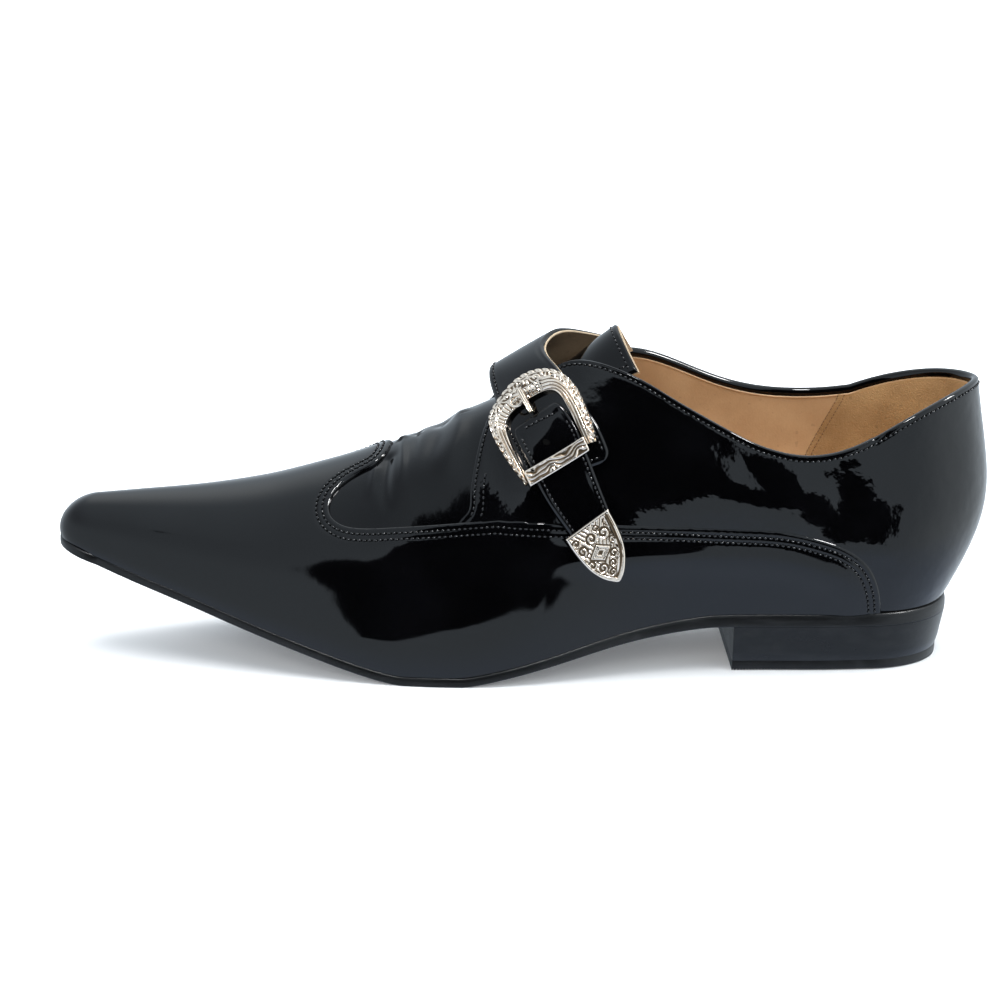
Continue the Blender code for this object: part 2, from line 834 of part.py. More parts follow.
make_upper()
make_outsole()
make_heel()
make_insole()
make_tongue()
strap_run = StrapRun()
make_strap(strap_run)
make_billet(strap_run)
make_buckle(strap_run)
make_keeper(strap_run)
make_tip(strap_run)
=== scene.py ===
"""Looks of a left monk shoe: patent leather panels, stitching, tan lining and an engraved nickel set."""

import bpy
import numpy as np
from mathutils.kdtree import KDTree
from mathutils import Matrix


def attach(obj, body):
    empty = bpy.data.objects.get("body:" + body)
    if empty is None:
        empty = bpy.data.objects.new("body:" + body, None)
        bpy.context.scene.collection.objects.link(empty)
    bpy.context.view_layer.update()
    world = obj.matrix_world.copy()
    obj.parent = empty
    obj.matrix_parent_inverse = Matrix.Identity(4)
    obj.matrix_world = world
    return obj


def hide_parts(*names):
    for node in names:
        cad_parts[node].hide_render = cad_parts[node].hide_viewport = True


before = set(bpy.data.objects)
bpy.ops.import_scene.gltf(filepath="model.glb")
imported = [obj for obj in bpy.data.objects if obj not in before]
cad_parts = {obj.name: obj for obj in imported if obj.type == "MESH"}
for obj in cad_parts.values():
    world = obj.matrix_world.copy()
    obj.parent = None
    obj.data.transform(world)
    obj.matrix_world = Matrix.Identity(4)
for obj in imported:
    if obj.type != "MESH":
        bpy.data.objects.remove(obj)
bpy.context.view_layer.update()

# Sizes in millimetres from the toe tip, -Y on the outer side, as in the solids
MM = 0.001
MID = np.array([151.96, 1.35, 0.0])
OUTER, INNER = -1, 1
GAP = 0.3
WALL = 1.8
QUARTER_STEP = 0.6
WING_STEP = 1.2
SOLE_MARGIN = 1.5
TOE_POLE, TOE_TIP, TOE_FULLNESS = 14.0, 1.9, 0.85
THROAT = 144.0
HEEL_POLE = 262.0
HEEL_FOOT_BACK, HEEL_TOP_BACK, HEEL_TOP_HEIGHT = 290.4, 298.4, 91.3
BACK_RISE, BACK_TAPER = 1.5, 1.15
HEEL_SEAT, HEEL_BREAST, LIFT_HEIGHT = 15.5, 219.5, 3.3
BALL_BACK, BALL_THICKNESS, SEAT_THICKNESS = 150.0, 3.0, 4.2
INSOLE_THICKNESS = 2.0
STRAP_THICKNESS, STRAP_STAND, STRAP_END = 2.0, 2.45, 9.0
BILLET_THICKNESS, BILLET_STAND, BILLET_END = 1.6, 1.4, 30.0
KEEPER_ALONG = 4.7
KEEPER_ACROSS, KEEPER_REACH, KEEPER_FOOT, KEEPER_BREADTH, KEEPER_PLATE = -0.7, 10.5, -1.9, 4.4, 1.3
BUCKLE_ACROSS, BUCKLE_SHEAR, BUCKLE_HEIGHT = -2.2, 0.23, 2.6
TIP_THICKNESS = 1.4
PRONG_THICKNESS = 1.8
TONGUE_THICKNESS, TONGUE_ARCH = 1.8, 1.8
OVER_TOP, UNDER_SOLE, PAST_TOE, PAST_HEEL = 130.0, -10.0, -20.0, 320.0
TOE_FAN, HEEL_FAN = 22, 46
SEAM_SPACING = 0.5

# Bottom of the sole: from_toe, height
SOLE_PROFILE = [
    (0, 37.0), (8, 33.8), (16, 30.8), (30, 25.9), (48, 19.8), (65, 13.9), (82, 8.3), (98, 3.4),
    (110, 0.5), (122, -0.6), (134, 0.1), (146, 2.4), (163, 6.4), (182, 11.2), (202, 14.5),
    (216, 15.7), (235, 15.8), (262, 15.8), (292, 15.8),
]
# Where the upper meets the sole: from_toe, outer half-breadth, inner half-breadth
FEATHER = [
    (14, 11.2, 12.2), (26, 15.2, 17.4), (40, 19.4, 22.6), (60, 25.6, 30.4), (80, 31.4, 37.2),
    (100, 36.4, 42.0), (115, 39.2, 43.8), (135, 40.8, 41.2), (150, 39.8, 36.8), (170, 35.6, 30.4),
    (190, 30.8, 26.0), (210, 27.6, 24.2), (230, 26.8, 24.8), (250, 26.8, 25.6), (262, 26.0, 25.2),
]
# Ridge over the toe and vamp: from_toe, sideways, height
RIDGE = [
    (14, 0.5, 51.2), (32, 1.0, 52.5), (45, 1.2, 53.5), (58, 1.5, 55.0), (72, 1.8, 57.4), (85, 2.0, 60.7),
    (98, 2.0, 64.5), (111, 1.6, 69.4), (124, 1.0, 75.0), (137, 0.2, 81.2), (144, 0.0, 84.6),
]
# Top edges: from_toe, outwards, height
OUTER_TOPLINE = [
    (144, 0.0, 84.6), (152, 8.0, 90.2), (160, 12.0, 95.3), (166, 14.0, 98.6), (172, 17.0, 99.6),
    (181, 21.0, 97.9), (190, 24.5, 94.3), (198.5, 27.0, 89.5), (207, 29.0, 84.8), (216, 30.5, 80.0),
    (224, 31.0, 76.0), (232, 31.2, 73.3), (240, 31.0, 72.0), (247, 30.3, 72.3), (256, 28.3, 74.4),
    (262, 26.6, 76.8),
]
INNER_TOPLINE = [
    (144, 0.0, 84.6), (149, 9.0, 85.4), (156, 14.5, 87.6), (168, 18.5, 91.8), (186, 22.5, 96.2),
    (204, 26.5, 91.2), (217, 29.0, 85.6), (231, 30.5, 81.8), (245, 30.3, 80.8), (256, 28.6, 81.6),
    (262, 27.2, 82.6),
]
# Shape of the wall's section: from_toe, foot lean, foot pull, top lean, top pull
SECTION = [
    (14, 76, 0.44, 0, 0.33), (45, 78, 0.46, 0, 0.30), (85, 79, 0.46, 0, 0.29), (120, 80, 0.47, 0, 0.27),
    (144, 81, 0.48, 4, 0.26), (160, 82, 0.45, 36, 0.34), (180, 82, 0.42, 58, 0.38),
    (205, 79, 0.42, 72, 0.42), (230, 76, 0.45, 80, 0.44), (262, 73, 0.48, 82, 0.46),
]
BACK_SECTION = (62, 0.53, 82, 0.48)
# Seams seen from the side: from_toe, height
WING_SEAM = [
    (111.5, 73.0), (110.0, 69.6), (107.0, 65.8), (99.2, 61.3), (93.6, 57.8), (90.8, 54.0), (90.9, 51.2),
    (93.4, 49.0), (99.9, 47.9), (110.0, 48.8), (122.8, 50.4), (137.0, 52.2), (151.2, 53.2), (164.0, 52.8),
    (200.9, 50.6), (221.0, 49.5), (235.5, 48.4), (245.0, 46.1), (254.7, 42.2), (259.6, 38.6),
    (265.3, 28.0), (267.0, 12.0),
]
QUARTER_FRONT = [
    (131.2, 47.0), (132.4, 52.4), (134.9, 55.0), (135.5, 59.0), (136.7, 67.1), (140.4, 77.9),
    (144.2, 84.0), (149.0, 94.0),
]
# Tongue: from_toe, crown height, half-width, drop at the edges, edge set back
TONGUE = [
    (137, 76.6, 10.0, 2.6, 0.0), (146, 82.2, 12.0, 3.6, 0.0), (156, 89.2, 14.5, 5.2, 0.5),
    (167, 96.4, 17.0, 7.6, 2.0), (175, 103.0, 18.5, 9.6, 4.0), (182, 108.4, 19.5, 11.4, 6.0),
]
# Strap over the throat: front edge x, y, z, rear edge x, y, z, crown across
STRAP_BRIDGE = [
    (148.4, 12.8, 88.0, 183.0, 19.2, 99.6, 0.6), (143.6, 9.0, 91.6, 172.5, 13.0, 103.6, 0.6),
    (141.6, 3.0, 92.8, 163.6, 5.5, 105.3, 0.4), (141.7, -4.0, 90.4, 158.9, -4.0, 102.2, 0.8),
    (143.4, -11.0, 86.0, 162.0, -15.4, 98.4, 1.6),
]
# Its run down the outer wall: front edge x, z and rear edge x, z
STRAP_WALL = [
    (147.5, 77.5, 171.0, 87.4), (151.5, 70.0, 176.2, 79.5), (154.5, 64.0, 179.0, 72.6),
    (158.5, 57.0, 181.4, 65.0), (164.5, 47.5, 184.6, 55.0), (170.5, 37.5, 187.6, 45.0),
    (176.0, 28.5, 190.4, 36.0),
]
# Where the strap grows out of the inner quarter: front edge x, z, rear edge x, z, stand
STRAP_ROOT = [(153.5, 70.0, 193.0, 78.0, -0.9), (151.5, 79.5, 189.0, 88.5, 0.7)]
# Billet's edges on the strap's run: front along, front across, rear along, rear across, stand
BILLET = [
    (-8.6, -10.4, -14.0, 7.0, BILLET_STAND), (-3.0, -11.1, -4.0, 7.2, BILLET_STAND),
    (4.0, -11.1, 2.0, 6.6, BILLET_STAND), (10.2, -11.0, 7.8, 6.5, BILLET_STAND),
    (18.0, -10.0, 16.0, 6.2, 0.6), (25.6, -8.6, 23.0, 5.8, 0.0),
    (BILLET_END, -8.0, BILLET_END - 1.0, 5.3, -0.1),
]
# Metal tip: along and across at the front, along and across at the rear
TIP = [
    (26.8, -10.5, 22.8, 5.4), (30.9, -10.0, 29.9, 5.7), (36.0, -8.7, 36.0, 5.1), (39.8, -7.1, 40.6, 3.4),
    (43.0, -4.8, 43.5, 1.7), (45.0, -2.4, 45.1, 0.1),
]
# Buckle's arch from its front end to its rear: outer across, outer up, inner across, inner up
ARCH = [
    (-12.5, -0.8, -10.9, -0.4), (-13.9, 5.5, -11.2, 4.5), (-14.6, 11.0, -11.1, 9.8),
    (-14.5, 17.0, -10.4, 14.8), (-13.3, 23.0, -9.2, 18.4), (-10.7, 28.0, -6.8, 21.0),
    (-6.4, 31.4, -3.6, 22.2), (-1.4, 32.7, 0.0, 22.6), (3.8, 32.0, 3.4, 22.5), (8.6, 29.9, 6.8, 21.9),
    (12.9, 26.6, 9.2, 20.4), (15.6, 22.0, 10.4, 17.6), (16.3, 16.5, 10.5, 14.0),
    (15.7, 10.3, 10.2, 9.8), (14.6, 4.6, 9.7, 5.0), (13.2, -0.8, 9.6, 0.2),
]
# Soft forms pressed into the leather: points from_toe and height, then half-width, rise,
# and the height over which the lower end fades, or 0
CREASES = [
    ([(112.8, 73.0), (113.8, 68.0), (113.8, 59.0)], 1.4, 0.5, 9.0),
    ([(108.8, 66.0), (108.4, 60.0), (109.4, 51.0)], 2.3, -0.9, 11.0),
    ([(104.8, 63.0), (103.0, 54.5)], 1.6, 0.45, 7.0),
    ([(126.0, 78.0), (124.4, 72.0), (120.4, 62.0)], 3.2, -0.55, 10.0),
    ([(132.5, 80.0), (130.8, 73.0), (127.0, 62.0)], 2.8, 0.5, 11.0),
    ([(118.0, 76.0), (117.6, 67.0)], 1.5, -0.4, 7.0),
    ([(115.0, 62.0), (125.0, 67.0)], 9.0, 1.2, 0.0),
    ([(110.0, 52.0), (113.0, 49.5)], 10.0, 0.45, 0.0),
    ([(192.0, 60.0), (215.0, 63.0), (238.0, 60.0)], 9.0, 0.65, 0.0),
    ([(243.0, 67.0), (252.0, 60.0), (256.0, 52.0)], 4.5, -0.18, 0.0),
    ([(222.0, 67.0), (233.0, 63.0)], 4.0, -0.3, 0.0),
    ([(199.0, 79.0), (207.0, 69.0)], 6.0, 0.35, 0.0),
    ([(183.0, 88.0), (190.0, 72.0)], 6.0, -0.3, 0.0),
    ([(259.5, 74.0), (262.0, 62.0), (263.0, 44.0)], 8.0, 0.8, 0.0),
]
# Soft line along the side of the toe: from_toe, height
TOE_EDGE = [(6.0, 45.2), (24.8, 44.6), (36.0, 43.5), (48.9, 42.0), (62.0, 38.5), (78.0, 35.0)]
TOE_EDGE_WIDTH, TOE_EDGE_RISE, TOE_EDGE_END, TOE_EDGE_FADE = 5.0, 0.15, 90, 50


def spline(rows):
    """Natural cubic spline through a table whose first column is the running length."""
    table = np.array(rows, float)
    knots, values = table[:, 0], table[:, 1:]
    step = np.diff(knots)
    slope = np.diff(values, axis=0) / step[:, None]
    count = len(knots)
    system = np.eye(count)
    right = np.zeros_like(values)
    for i in range(1, count - 1):
        system[i, i - 1 : i + 2] = step[i - 1], 2 * (step[i - 1] + step[i]), step[i]
        right[i] = 6 * (slope[i] - slope[i - 1])
    bend = np.linalg.solve(system, right)

    def at(length):
        length = np.asarray(length, float)
        i = np.clip(np.searchsorted(knots, length) - 1, 0, count - 2)
        b = ((length - knots[i]) / step[i])[..., None]
        a = 1 - b
        curve = (a**3 - a) * bend[i] + (b**3 - b) * bend[i + 1]
        return a * values[i] + b * values[i + 1] + curve * step[i][..., None] ** 2 / 6

    return at


def running(points):
    """Length along a chain of points."""
    return np.r_[0, np.cumsum(np.linalg.norm(np.diff(points, axis=0), axis=1))]


def smooth_line(points, spacing):
    """The chain as a smooth line with even spacing."""
    points = np.array(points, float)
    run = running(points)
    return spline(np.c_[run, points])(np.linspace(0, run[-1], max(int(run[-1] / spacing), 2)))


def ease(value):
    """0 below 0, 1 above 1, smooth between."""
    value = np.clip(value, 0, 1)
    return value * value * (3 - 2 * value)


def ridge(value, width):
    """A rounded ridge where value passes 0."""
    return np.exp(-((value / width) ** 2))


def unit(vectors):
    """The same directions with length 1."""
    return vectors / np.linalg.norm(vectors, axis=-1, keepdims=True)


def circle(count):
    return np.linspace(0, 2 * np.pi, count + 1)[:-1]


# The last: one section after another round the foot
sole_raw = spline(SOLE_PROFILE)
feather_at = spline(FEATHER)
ridge_at = spline(RIDGE)
topline_at = {OUTER: spline(OUTER_TOPLINE), INNER: spline(INNER_TOPLINE)}
section_at = spline(SECTION)


def sole_bottom(x):
    height = np.maximum(sole_raw(np.maximum(x, 0.0))[..., 0], 0.0)
    return np.where(np.asarray(x) > THROAT, np.minimum(height, HEEL_SEAT), height)


def sole_thickness(x):
    return np.interp(x, [BALL_BACK, HEEL_BREAST], [BALL_THICKNESS, SEAT_THICKNESS])


def foot_height(x):
    return float(sole_bottom(x) + sole_thickness(x) + GAP)


def feather(x, side):
    return side * feather_at(x)[0 if side < 0 else 1]


def wall_top(x, side):
    if x <= THROAT:
        sideways, height = ridge_at(x)
        return np.array([x, sideways, height])
    sideways, height = topline_at[side](x)
    return np.array([x, side * sideways, height])


def rib(foot, top, out, section, share):
    foot_lean, foot_pull, top_lean, top_pull = section
    foot_lean, top_lean = np.radians(foot_lean), np.radians(top_lean)
    chord = np.linalg.norm(top - foot)
    up = np.array([0.0, 0.0, 1.0])
    leave = foot + foot_pull * chord * (np.cos(foot_lean) * out + np.sin(foot_lean) * up)
    arrive = top - top_pull * chord * (np.sin(top_lean) * up - np.cos(top_lean) * out)
    a, b = 1 - share, share
    return a**3 * foot + 3 * a * a * b * leave + 3 * a * b * b * arrive + b**3 * top


def station_rib(x, side):
    foot = np.array([x, feather(x, side), foot_height(x)])
    out = np.array([0.0, side, 0.0])
    top, section = wall_top(x, side), section_at(x)
    return lambda share: rib(foot, top, out, section, share)


def toe_rib(turn, side):
    angle = turn * np.pi / 2
    ahead, across = np.sin(angle) ** TOE_FULLNESS, np.cos(angle) ** TOE_FULLNESS
    x = TOE_POLE - (TOE_POLE - TOE_TIP) * ahead
    foot = np.array([x, feather(TOE_POLE, side) * across, foot_height(x)])
    out = np.array([-np.sin(angle), side * np.cos(angle), 0.0])
    top, section = wall_top(TOE_POLE, side), section_at(TOE_POLE)
    return lambda share: rib(foot, top, out, section, share)


def heel_rib(turn, side):
    angle = turn * np.pi / 2
    back, across = np.sin(angle), max(np.cos(angle), 0.0)
    foot_x = HEEL_POLE + (HEEL_FOOT_BACK - HEEL_POLE) * back
    foot = np.array([foot_x, feather(HEEL_POLE, side) * across, foot_height(foot_x)])
    sideways, height = topline_at[side](HEEL_POLE)
    top_x = HEEL_POLE + (HEEL_TOP_BACK - HEEL_POLE) * back
    top_z = height + (HEEL_TOP_HEIGHT - height) * (1 - (1 - back) ** BACK_RISE)
    top = np.array([top_x, side * sideways * across**BACK_TAPER, top_z])
    out = np.array([back, side * across, 0.0])
    section = (1 - back**2) * section_at(HEEL_POLE) + back**2 * np.array(BACK_SECTION)
    return lambda share: rib(foot, top, out, section, share)


def side_ribs(side, spacing):
    """Every section of one side, from straight ahead at the toe to the back seam."""
    toe = [toe_rib(turn, side) for turn in np.linspace(1, 0, int(TOE_FAN / spacing))[:-1]]
    vamp = np.linspace(TOE_POLE, THROAT, int((THROAT - TOE_POLE) / spacing) + 1)
    back = np.linspace(THROAT, HEEL_POLE, int((HEEL_POLE - THROAT) / spacing) + 1)[1:]
    heel = [heel_rib(turn, side) for turn in np.linspace(0, 1, int(HEEL_FAN / spacing))[1:]]
    return toe + [station_rib(x, side) for x in np.r_[vamp, back]] + heel


def on_wall(x, z, side=OUTER):
    """Point of the wall that is seen from the side at this length and height."""
    section = station_rib(x, side)
    low, high = 0.0, 1.0
    for _ in range(30):
        middle = (low + high) / 2
        if section(middle)[2] < z:
            low = middle
        else:
            high = middle
    return section(low)


def off_wall(x, z, stand, side=OUTER):
    step = 0.5
    along = on_wall(x + step, z, side) - on_wall(x - step, z, side)
    up = on_wall(x, z + step, side) - on_wall(x, z - step, side)
    return on_wall(x, z, side) + stand * unit(np.cross(along, up) * -side)


# Finishes: nodes from one method, arithmetic as plain expressions
class Value:
    """A socket of a finish that can be added, multiplied and so on."""

    def __init__(self, finish, socket):
        self.finish, self.socket = finish, socket

    def math(self, operation, *values):
        inputs = dict(enumerate(values))
        return self.finish.node("Math", {"operation": operation}, inputs)

    def __add__(self, other):
        return self.math("ADD", self, other)

    __radd__ = __add__

    def __sub__(self, other):
        return self.math("SUBTRACT", self, other)

    def __rsub__(self, other):
        return self.math("SUBTRACT", other, self)

    def __mul__(self, other):
        return self.math("MULTIPLY", self, other)

    __rmul__ = __mul__

    def __truediv__(self, other):
        return self.math("DIVIDE", self, other)

    def above(self, low, high):
        """0 below low, 1 above high, smooth between."""
        settings = {"interpolation_type": "SMOOTHSTEP"}
        return self.finish.node("MapRange", settings, {0: self, 1: low, 2: high})


class Finish:
    """One material, or the surround, built from its node tree."""

    def __init__(self, owner, shader):
        owner.use_nodes = True
        self.owner, self.tree = owner, owner.node_tree
        self.shader = self.tree.nodes[shader]

    def feed(self, socket, value):
        if isinstance(value, Value):
            self.tree.links.new(value.socket, socket)
        else:
            socket.default_value = value

    def node(self, kind, settings=None, inputs=None, output=0):
        made = self.tree.nodes.new("ShaderNode" + kind)
        for key, value in (settings or {}).items():
            setattr(made, key, value)
        for key, value in (inputs or {}).items():
            self.feed(made.inputs[key], value)
        return Value(self, made.outputs[output])

    def set(self, **inputs):
        for key, value in inputs.items():
            self.feed(self.shader.inputs[key.replace("_", " ")], value)

    def mix(self, factor, dark, light):
        settings = {"data_type": "RGBA", "clamp_factor": True}
        inputs = {0: factor, 6: (*dark, 1) if isinstance(dark, tuple) else dark}
        inputs[7] = (*light, 1) if isinstance(light, tuple) else light
        return self.node("Mix", settings, inputs, 2)

    def noise(self, scale, detail=2.0, stretch=(1, 1, 1)):
        """Soft noise over the shoe, scale in cells per metre."""
        place = self.node("TexCoord", output="Object")
        settings = {"operation": "MULTIPLY"}
        spot = self.node("VectorMath", settings, {0: place, 1: stretch})
        return self.node("TexNoise", None, {"Vector": spot, "Scale": scale, "Detail": detail})

    def bump(self, *layers):
        """Layers of height: a value from 0 to 1 and its depth in millimetres."""
        normal = None
        for height, depth in layers:
            inputs = {"Height": height, "Distance": depth * MM, "Strength": 1.0}
            if normal:
                inputs["Normal"] = normal
            normal = self.node("Bump", None, inputs)
        self.set(Normal=normal)


def new_finish(name):
    return Finish(bpy.data.materials.new(name), "Principled BSDF")


def patent_finish(name, ripple, grain, dull=0.04, gloss=0.4):
    """Lacquered black leather: mirror gloss over a faint ripple and grain, with smears and specks of dust."""
    made = new_finish(name)
    smear = made.noise(38, 3)
    dust = made.noise(2400, 1).above(0.73, 0.76)
    cover = smear.above(0.45, 0.75) * 0.5 + dust * 0.5
    made.set(Base_Color=made.mix(cover, (0.0007, 0.0007, 0.0009), (0.0021, 0.0021, 0.0027)))
    made.set(Roughness=dull + 0.015 * smear.above(0.4, 0.8) + 0.15 * dust, Specular_IOR_Level=gloss)
    made.bump((made.noise(75, 2), ripple), (made.noise(230, 2), 0.3 * ripple), (made.noise(1500, 2), grain))
    return made.owner


def thread_finish():
    made = new_finish("waxed_thread")
    strand = made.noise(2600, 2)
    made.set(Base_Color=made.mix(strand, (0.003, 0.003, 0.0035), (0.015, 0.015, 0.016)))
    made.set(Roughness=0.1 + 0.15 * strand, Specular_IOR_Level=0.5)
    made.bump((strand, 0.06))
    return made.owner


def lining_finish(name, dark, light, grain, rough, nap=0.06):
    """Matt lining leather with pores, soft mottling and a rubbed tone."""
    made = new_finish(name)
    mottle = made.noise(60, 4).above(0.3, 0.7)
    pores = made.noise(grain, 3)
    spot = made.noise(420, 2).above(0.66, 0.72)
    tone = made.mix(mottle * 0.6 + pores * 0.4, dark, light)
    made.set(Base_Color=made.mix(spot * 0.3, tone, tuple(0.6 * c for c in dark)))
    made.set(Roughness=rough + 0.1 * pores)
    made.bump((pores, nap), (made.noise(240, 2), 0.08))
    return made.owner


def edge_finish(name, tint, rough, stretch, gloss=0.3):
    """Inked edge of sole leather: satin, with drawn-out scuffs."""
    made = new_finish(name)
    drawn = made.noise(240, 4, stretch)
    scuff = made.noise(130, 5).above(0.62, 0.72)
    light = tuple(3.4 * c for c in tint)
    made.set(Base_Color=made.mix(drawn.above(0.4, 0.7) * 0.4 + scuff * 0.4, tint, light))
    made.set(Roughness=rough + 0.16 * drawn + 0.2 * scuff, Specular_IOR_Level=gloss)
    made.bump((drawn, 0.06), (made.noise(900, 2), 0.03))
    return made.owner


def nickel_finish(name):
    """Plated metal, bright on the raised relief, with painted shade: dark brown in the recesses and wherever
    the mesh measure is low.
    """
    made = new_finish(name)
    unshaded = made.node("Attribute", {"attribute_name": "unshaded"}, output="Fac")
    wear = made.noise(700, 3)
    bright = (unshaded + 0.2 * wear - 0.1).above(0.05, 0.38)
    # Dark brown is painted shade for recesses and undersides, the light tone is the plating
    made.set(Base_Color=made.mix(bright, (0.15, 0.105, 0.065), (0.88, 0.765, 0.645)))
    made.set(Roughness=0.34 - 0.22 * bright + 0.08 * wear, Metallic=1.0)
    made.bump((wear, 0.03))
    return made.owner


PATENT = patent_finish("patent_leather", 0.02, 0.0011)
PATENT_PLUG = patent_finish("patent_leather_plug", 0.09, 0.002, 0.075, 0.32)
PATENT_QUARTER = patent_finish("patent_leather_quarter", 0.36, 0.006)
THREAD = thread_finish()
LINING = lining_finish("lining_leather", (0.46, 0.265, 0.125), (0.62, 0.385, 0.2), 1500, 0.5)
SUEDE = lining_finish("heel_grip_suede", (0.30, 0.16, 0.06), (0.56, 0.34, 0.15), 1700, 0.8, 0.25)
STRAP_LINING = lining_finish("strap_lining_leather", (0.17, 0.115, 0.07), (0.28, 0.2, 0.125), 1500, 0.6)
RAW_EDGE = lining_finish("lining_raw_edge", (0.42, 0.31, 0.19), (0.60, 0.47, 0.32), 3000, 0.6)
SOLE_EDGE = edge_finish("sole_edge_ink", (0.004, 0.0042, 0.0045), 0.24, (0.3, 0.3, 2.5))
HEEL_STACK = edge_finish("heel_stack_ink", (0.003, 0.0032, 0.0035), 0.22, (0.5, 0.5, 1.2))
RUBBER = edge_finish("top_lift_rubber", (0.004, 0.0042, 0.0046), 0.34, (1, 1, 1))
NICKEL = nickel_finish("engraved_nickel")
# Near-black matt finish for painted shade in needle holes and the prong hole
HOLE_SHADE = edge_finish("painted_hole_shade", (0.001, 0.001, 0.001), 0.7, (1, 1, 1), 0.03)
SEAM_THREAD = lining_finish("lining_thread", (0.16, 0.085, 0.035), (0.24, 0.13, 0.06), 3000, 0.7)


# Pieces from arrays
def add_piece(name, points, faces, finish, slot, replaced=(), unshaded=None, crease=None):
    mesh = bpy.data.meshes.new(name)
    world = (np.asarray(points, float) - MID) * MM
    mesh.from_pydata(world.tolist(), [], np.asarray(faces).tolist() if len(faces) else [])
    mesh.validate()
    mesh.shade_smooth()
    if crease:
        mesh.set_sharp_from_angle(angle=np.radians(crease))
    # Measure for the nickel finish: low values are painted in shade
    if unshaded is not None:
        mark = mesh.attributes.new("unshaded", "FLOAT", "POINT")
        mark.data.foreach_set("value", np.asarray(unshaded, np.float32).ravel())
    mesh.materials.append(finish)
    piece = bpy.data.objects.new(name, mesh)
    bpy.context.scene.collection.objects.link(piece)
    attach(piece, "root")
    if replaced:
        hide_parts(*replaced)


def grid_faces(rows, columns, start=0, flip=False, loop=False):
    """Quads between neighbouring rows of a grid of points."""
    index = start + np.arange(rows * columns).reshape(rows, columns)
    if loop:
        index = np.c_[index, index[:, :1]]
    corners = [index[:-1, :-1], index[1:, :-1], index[1:, 1:], index[:-1, 1:]]
    if flip:
        corners.reverse()
    return np.stack([c.ravel() for c in corners], axis=1)


def add_rings(name, rings, finish, slot, unshaded=None, closed=False):
    """Piece through a row of rings, or a row that closes on itself."""
    count, around = len(rings), len(rings[0])
    faces = grid_faces(count + int(closed), around, loop=True) % (count * around)
    add_piece(name, np.concatenate(rings), faces, finish, slot, (), unshaded)


def add_metal(name, top, bottom, unshaded, node, under=0.3):
    """Plated piece between two grids, engraved on top; the underside is painted in shade and dull."""
    unshaded = np.r_[unshaded.ravel(), np.full(unshaded.size, under)]
    add_piece(name, *slab(top, bottom), NICKEL, "nickel", [node], unshaded, crease=50)


def slab(top, bottom):
    """Closed solid between two grids of points."""
    rows, columns = top.shape[:2]
    count = rows * columns
    index = np.arange(count).reshape(rows, columns)
    rim = np.r_[index[0, :-1], index[:-1, -1], index[-1, :0:-1], index[:0:-1, 0]]
    after = np.roll(rim, -1)
    skirt = np.stack([rim, after, after + count, rim + count], axis=1)
    faces = np.r_[grid_faces(rows, columns), grid_faces(rows, columns, count, True), skirt[:, ::-1]]
    return np.r_[top.reshape(-1, 3), bottom.reshape(-1, 3)], faces


class Sheet:
    """Triangles whose points carry their normal and any number of measures."""

    def __init__(self, data, triangles):
        self.data, self.triangles = data, triangles

    def split(self, column, level):
        """Cuts the triangles along one level of a measure."""
        value = self.data[:, column] - level
        near = np.abs(value) < 0.03
        self.data[near, column] = level
        sign = np.where(near, 0, np.sign(value)).astype(int)
        corners = sign[self.triangles]
        crossing = (corners.min(axis=1) < 0) & (corners.max(axis=1) > 0)
        made, added, faces = {}, [], []
        count = len(self.data)

        def middle(a, b):
            key = (a, b) if a < b else (b, a)
            if key not in made:
                share = value[key[0]] / (value[key[0]] - value[key[1]])
                row = self.data[key[0]] + share * (self.data[key[1]] - self.data[key[0]])
                row[column] = level
                made[key] = count + len(added)
                added.append(row)
            return made[key]

        for triangle in self.triangles[crossing].tolist():
            parts = ([], [])
            for a, b in zip(triangle, triangle[1:] + triangle[:1]):
                if sign[a] >= 0:
                    parts[0].append(a)
                if sign[a] <= 0:
                    parts[1].append(a)
                if sign[a] * sign[b] < 0:
                    cut = middle(a, b)
                    parts[0].append(cut)
                    parts[1].append(cut)
            for part in parts:
                faces += [(part[0], part[k], part[k + 1]) for k in range(1, len(part) - 1)]
        if added:
            self.data = np.r_[self.data, added]
            self.triangles = np.r_[self.triangles[~crossing], faces]

    def part(self, test):
        """The triangles whose middle passes the test, with only their own points."""
        kept = self.triangles[test(self.data[self.triangles].mean(axis=1))]
        used, index = np.unique(kept, return_inverse=True)
        return Sheet(self.data[used].copy(), index.reshape(-1, 3))

    def finer(self):
        """The same sheet, bent as its normals say, with each triangle cut into four."""
        ends = np.concatenate([self.triangles[:, pair] for pair in ([0, 1], [1, 2], [2, 0])])
        pairs, index = np.unique(np.sort(ends, axis=1), axis=0, return_inverse=True)
        first, second = self.data[pairs[:, 0]], self.data[pairs[:, 1]]
        middle = (first + second) / 2
        bend = ((second - first)[:, :3] * (second - first)[:, 3:6]).sum(axis=1) / 8
        middle[:, :3] += bend[:, None] * middle[:, 3:6]
        a, b, c = self.triangles.T
        ab, bc, ca = len(self.data) + index.reshape(3, -1)
        corners = (a, ab, ca), (ab, b, bc), (ca, bc, c), (ab, bc, ca)
        return Sheet(np.r_[self.data, middle], np.concatenate([np.stack(k, axis=1) for k in corners]))

    def raised(self, height):
        """The points moved along their normals."""
        return self.data[:, :3] + np.asarray(height)[..., None] * unit(self.data[:, 3:6])

    def lines(self, column, level):
        """Chains of points that lie on one level of a measure."""
        on = np.abs(self.data[:, column] - level) < 1e-9
        links = {}
        for triangle in self.triangles[on[self.triangles].sum(axis=1) == 2].tolist():
            a, b = [i for i in triangle if on[i]]
            links.setdefault(a, set()).add(b)
            links.setdefault(b, set()).add(a)
        chains = []
        while links:
            ends = [i for i in links if len(links[i]) == 1]
            here = ends[0] if ends else next(iter(links))
            chain = [here]
            while links.get(here):
                after = links[here].pop()
                links[after].discard(here)
                chain.append(after)
                here = after
            links = {i: others for i, others in links.items() if others}
            chains.append(chain)
        return chains


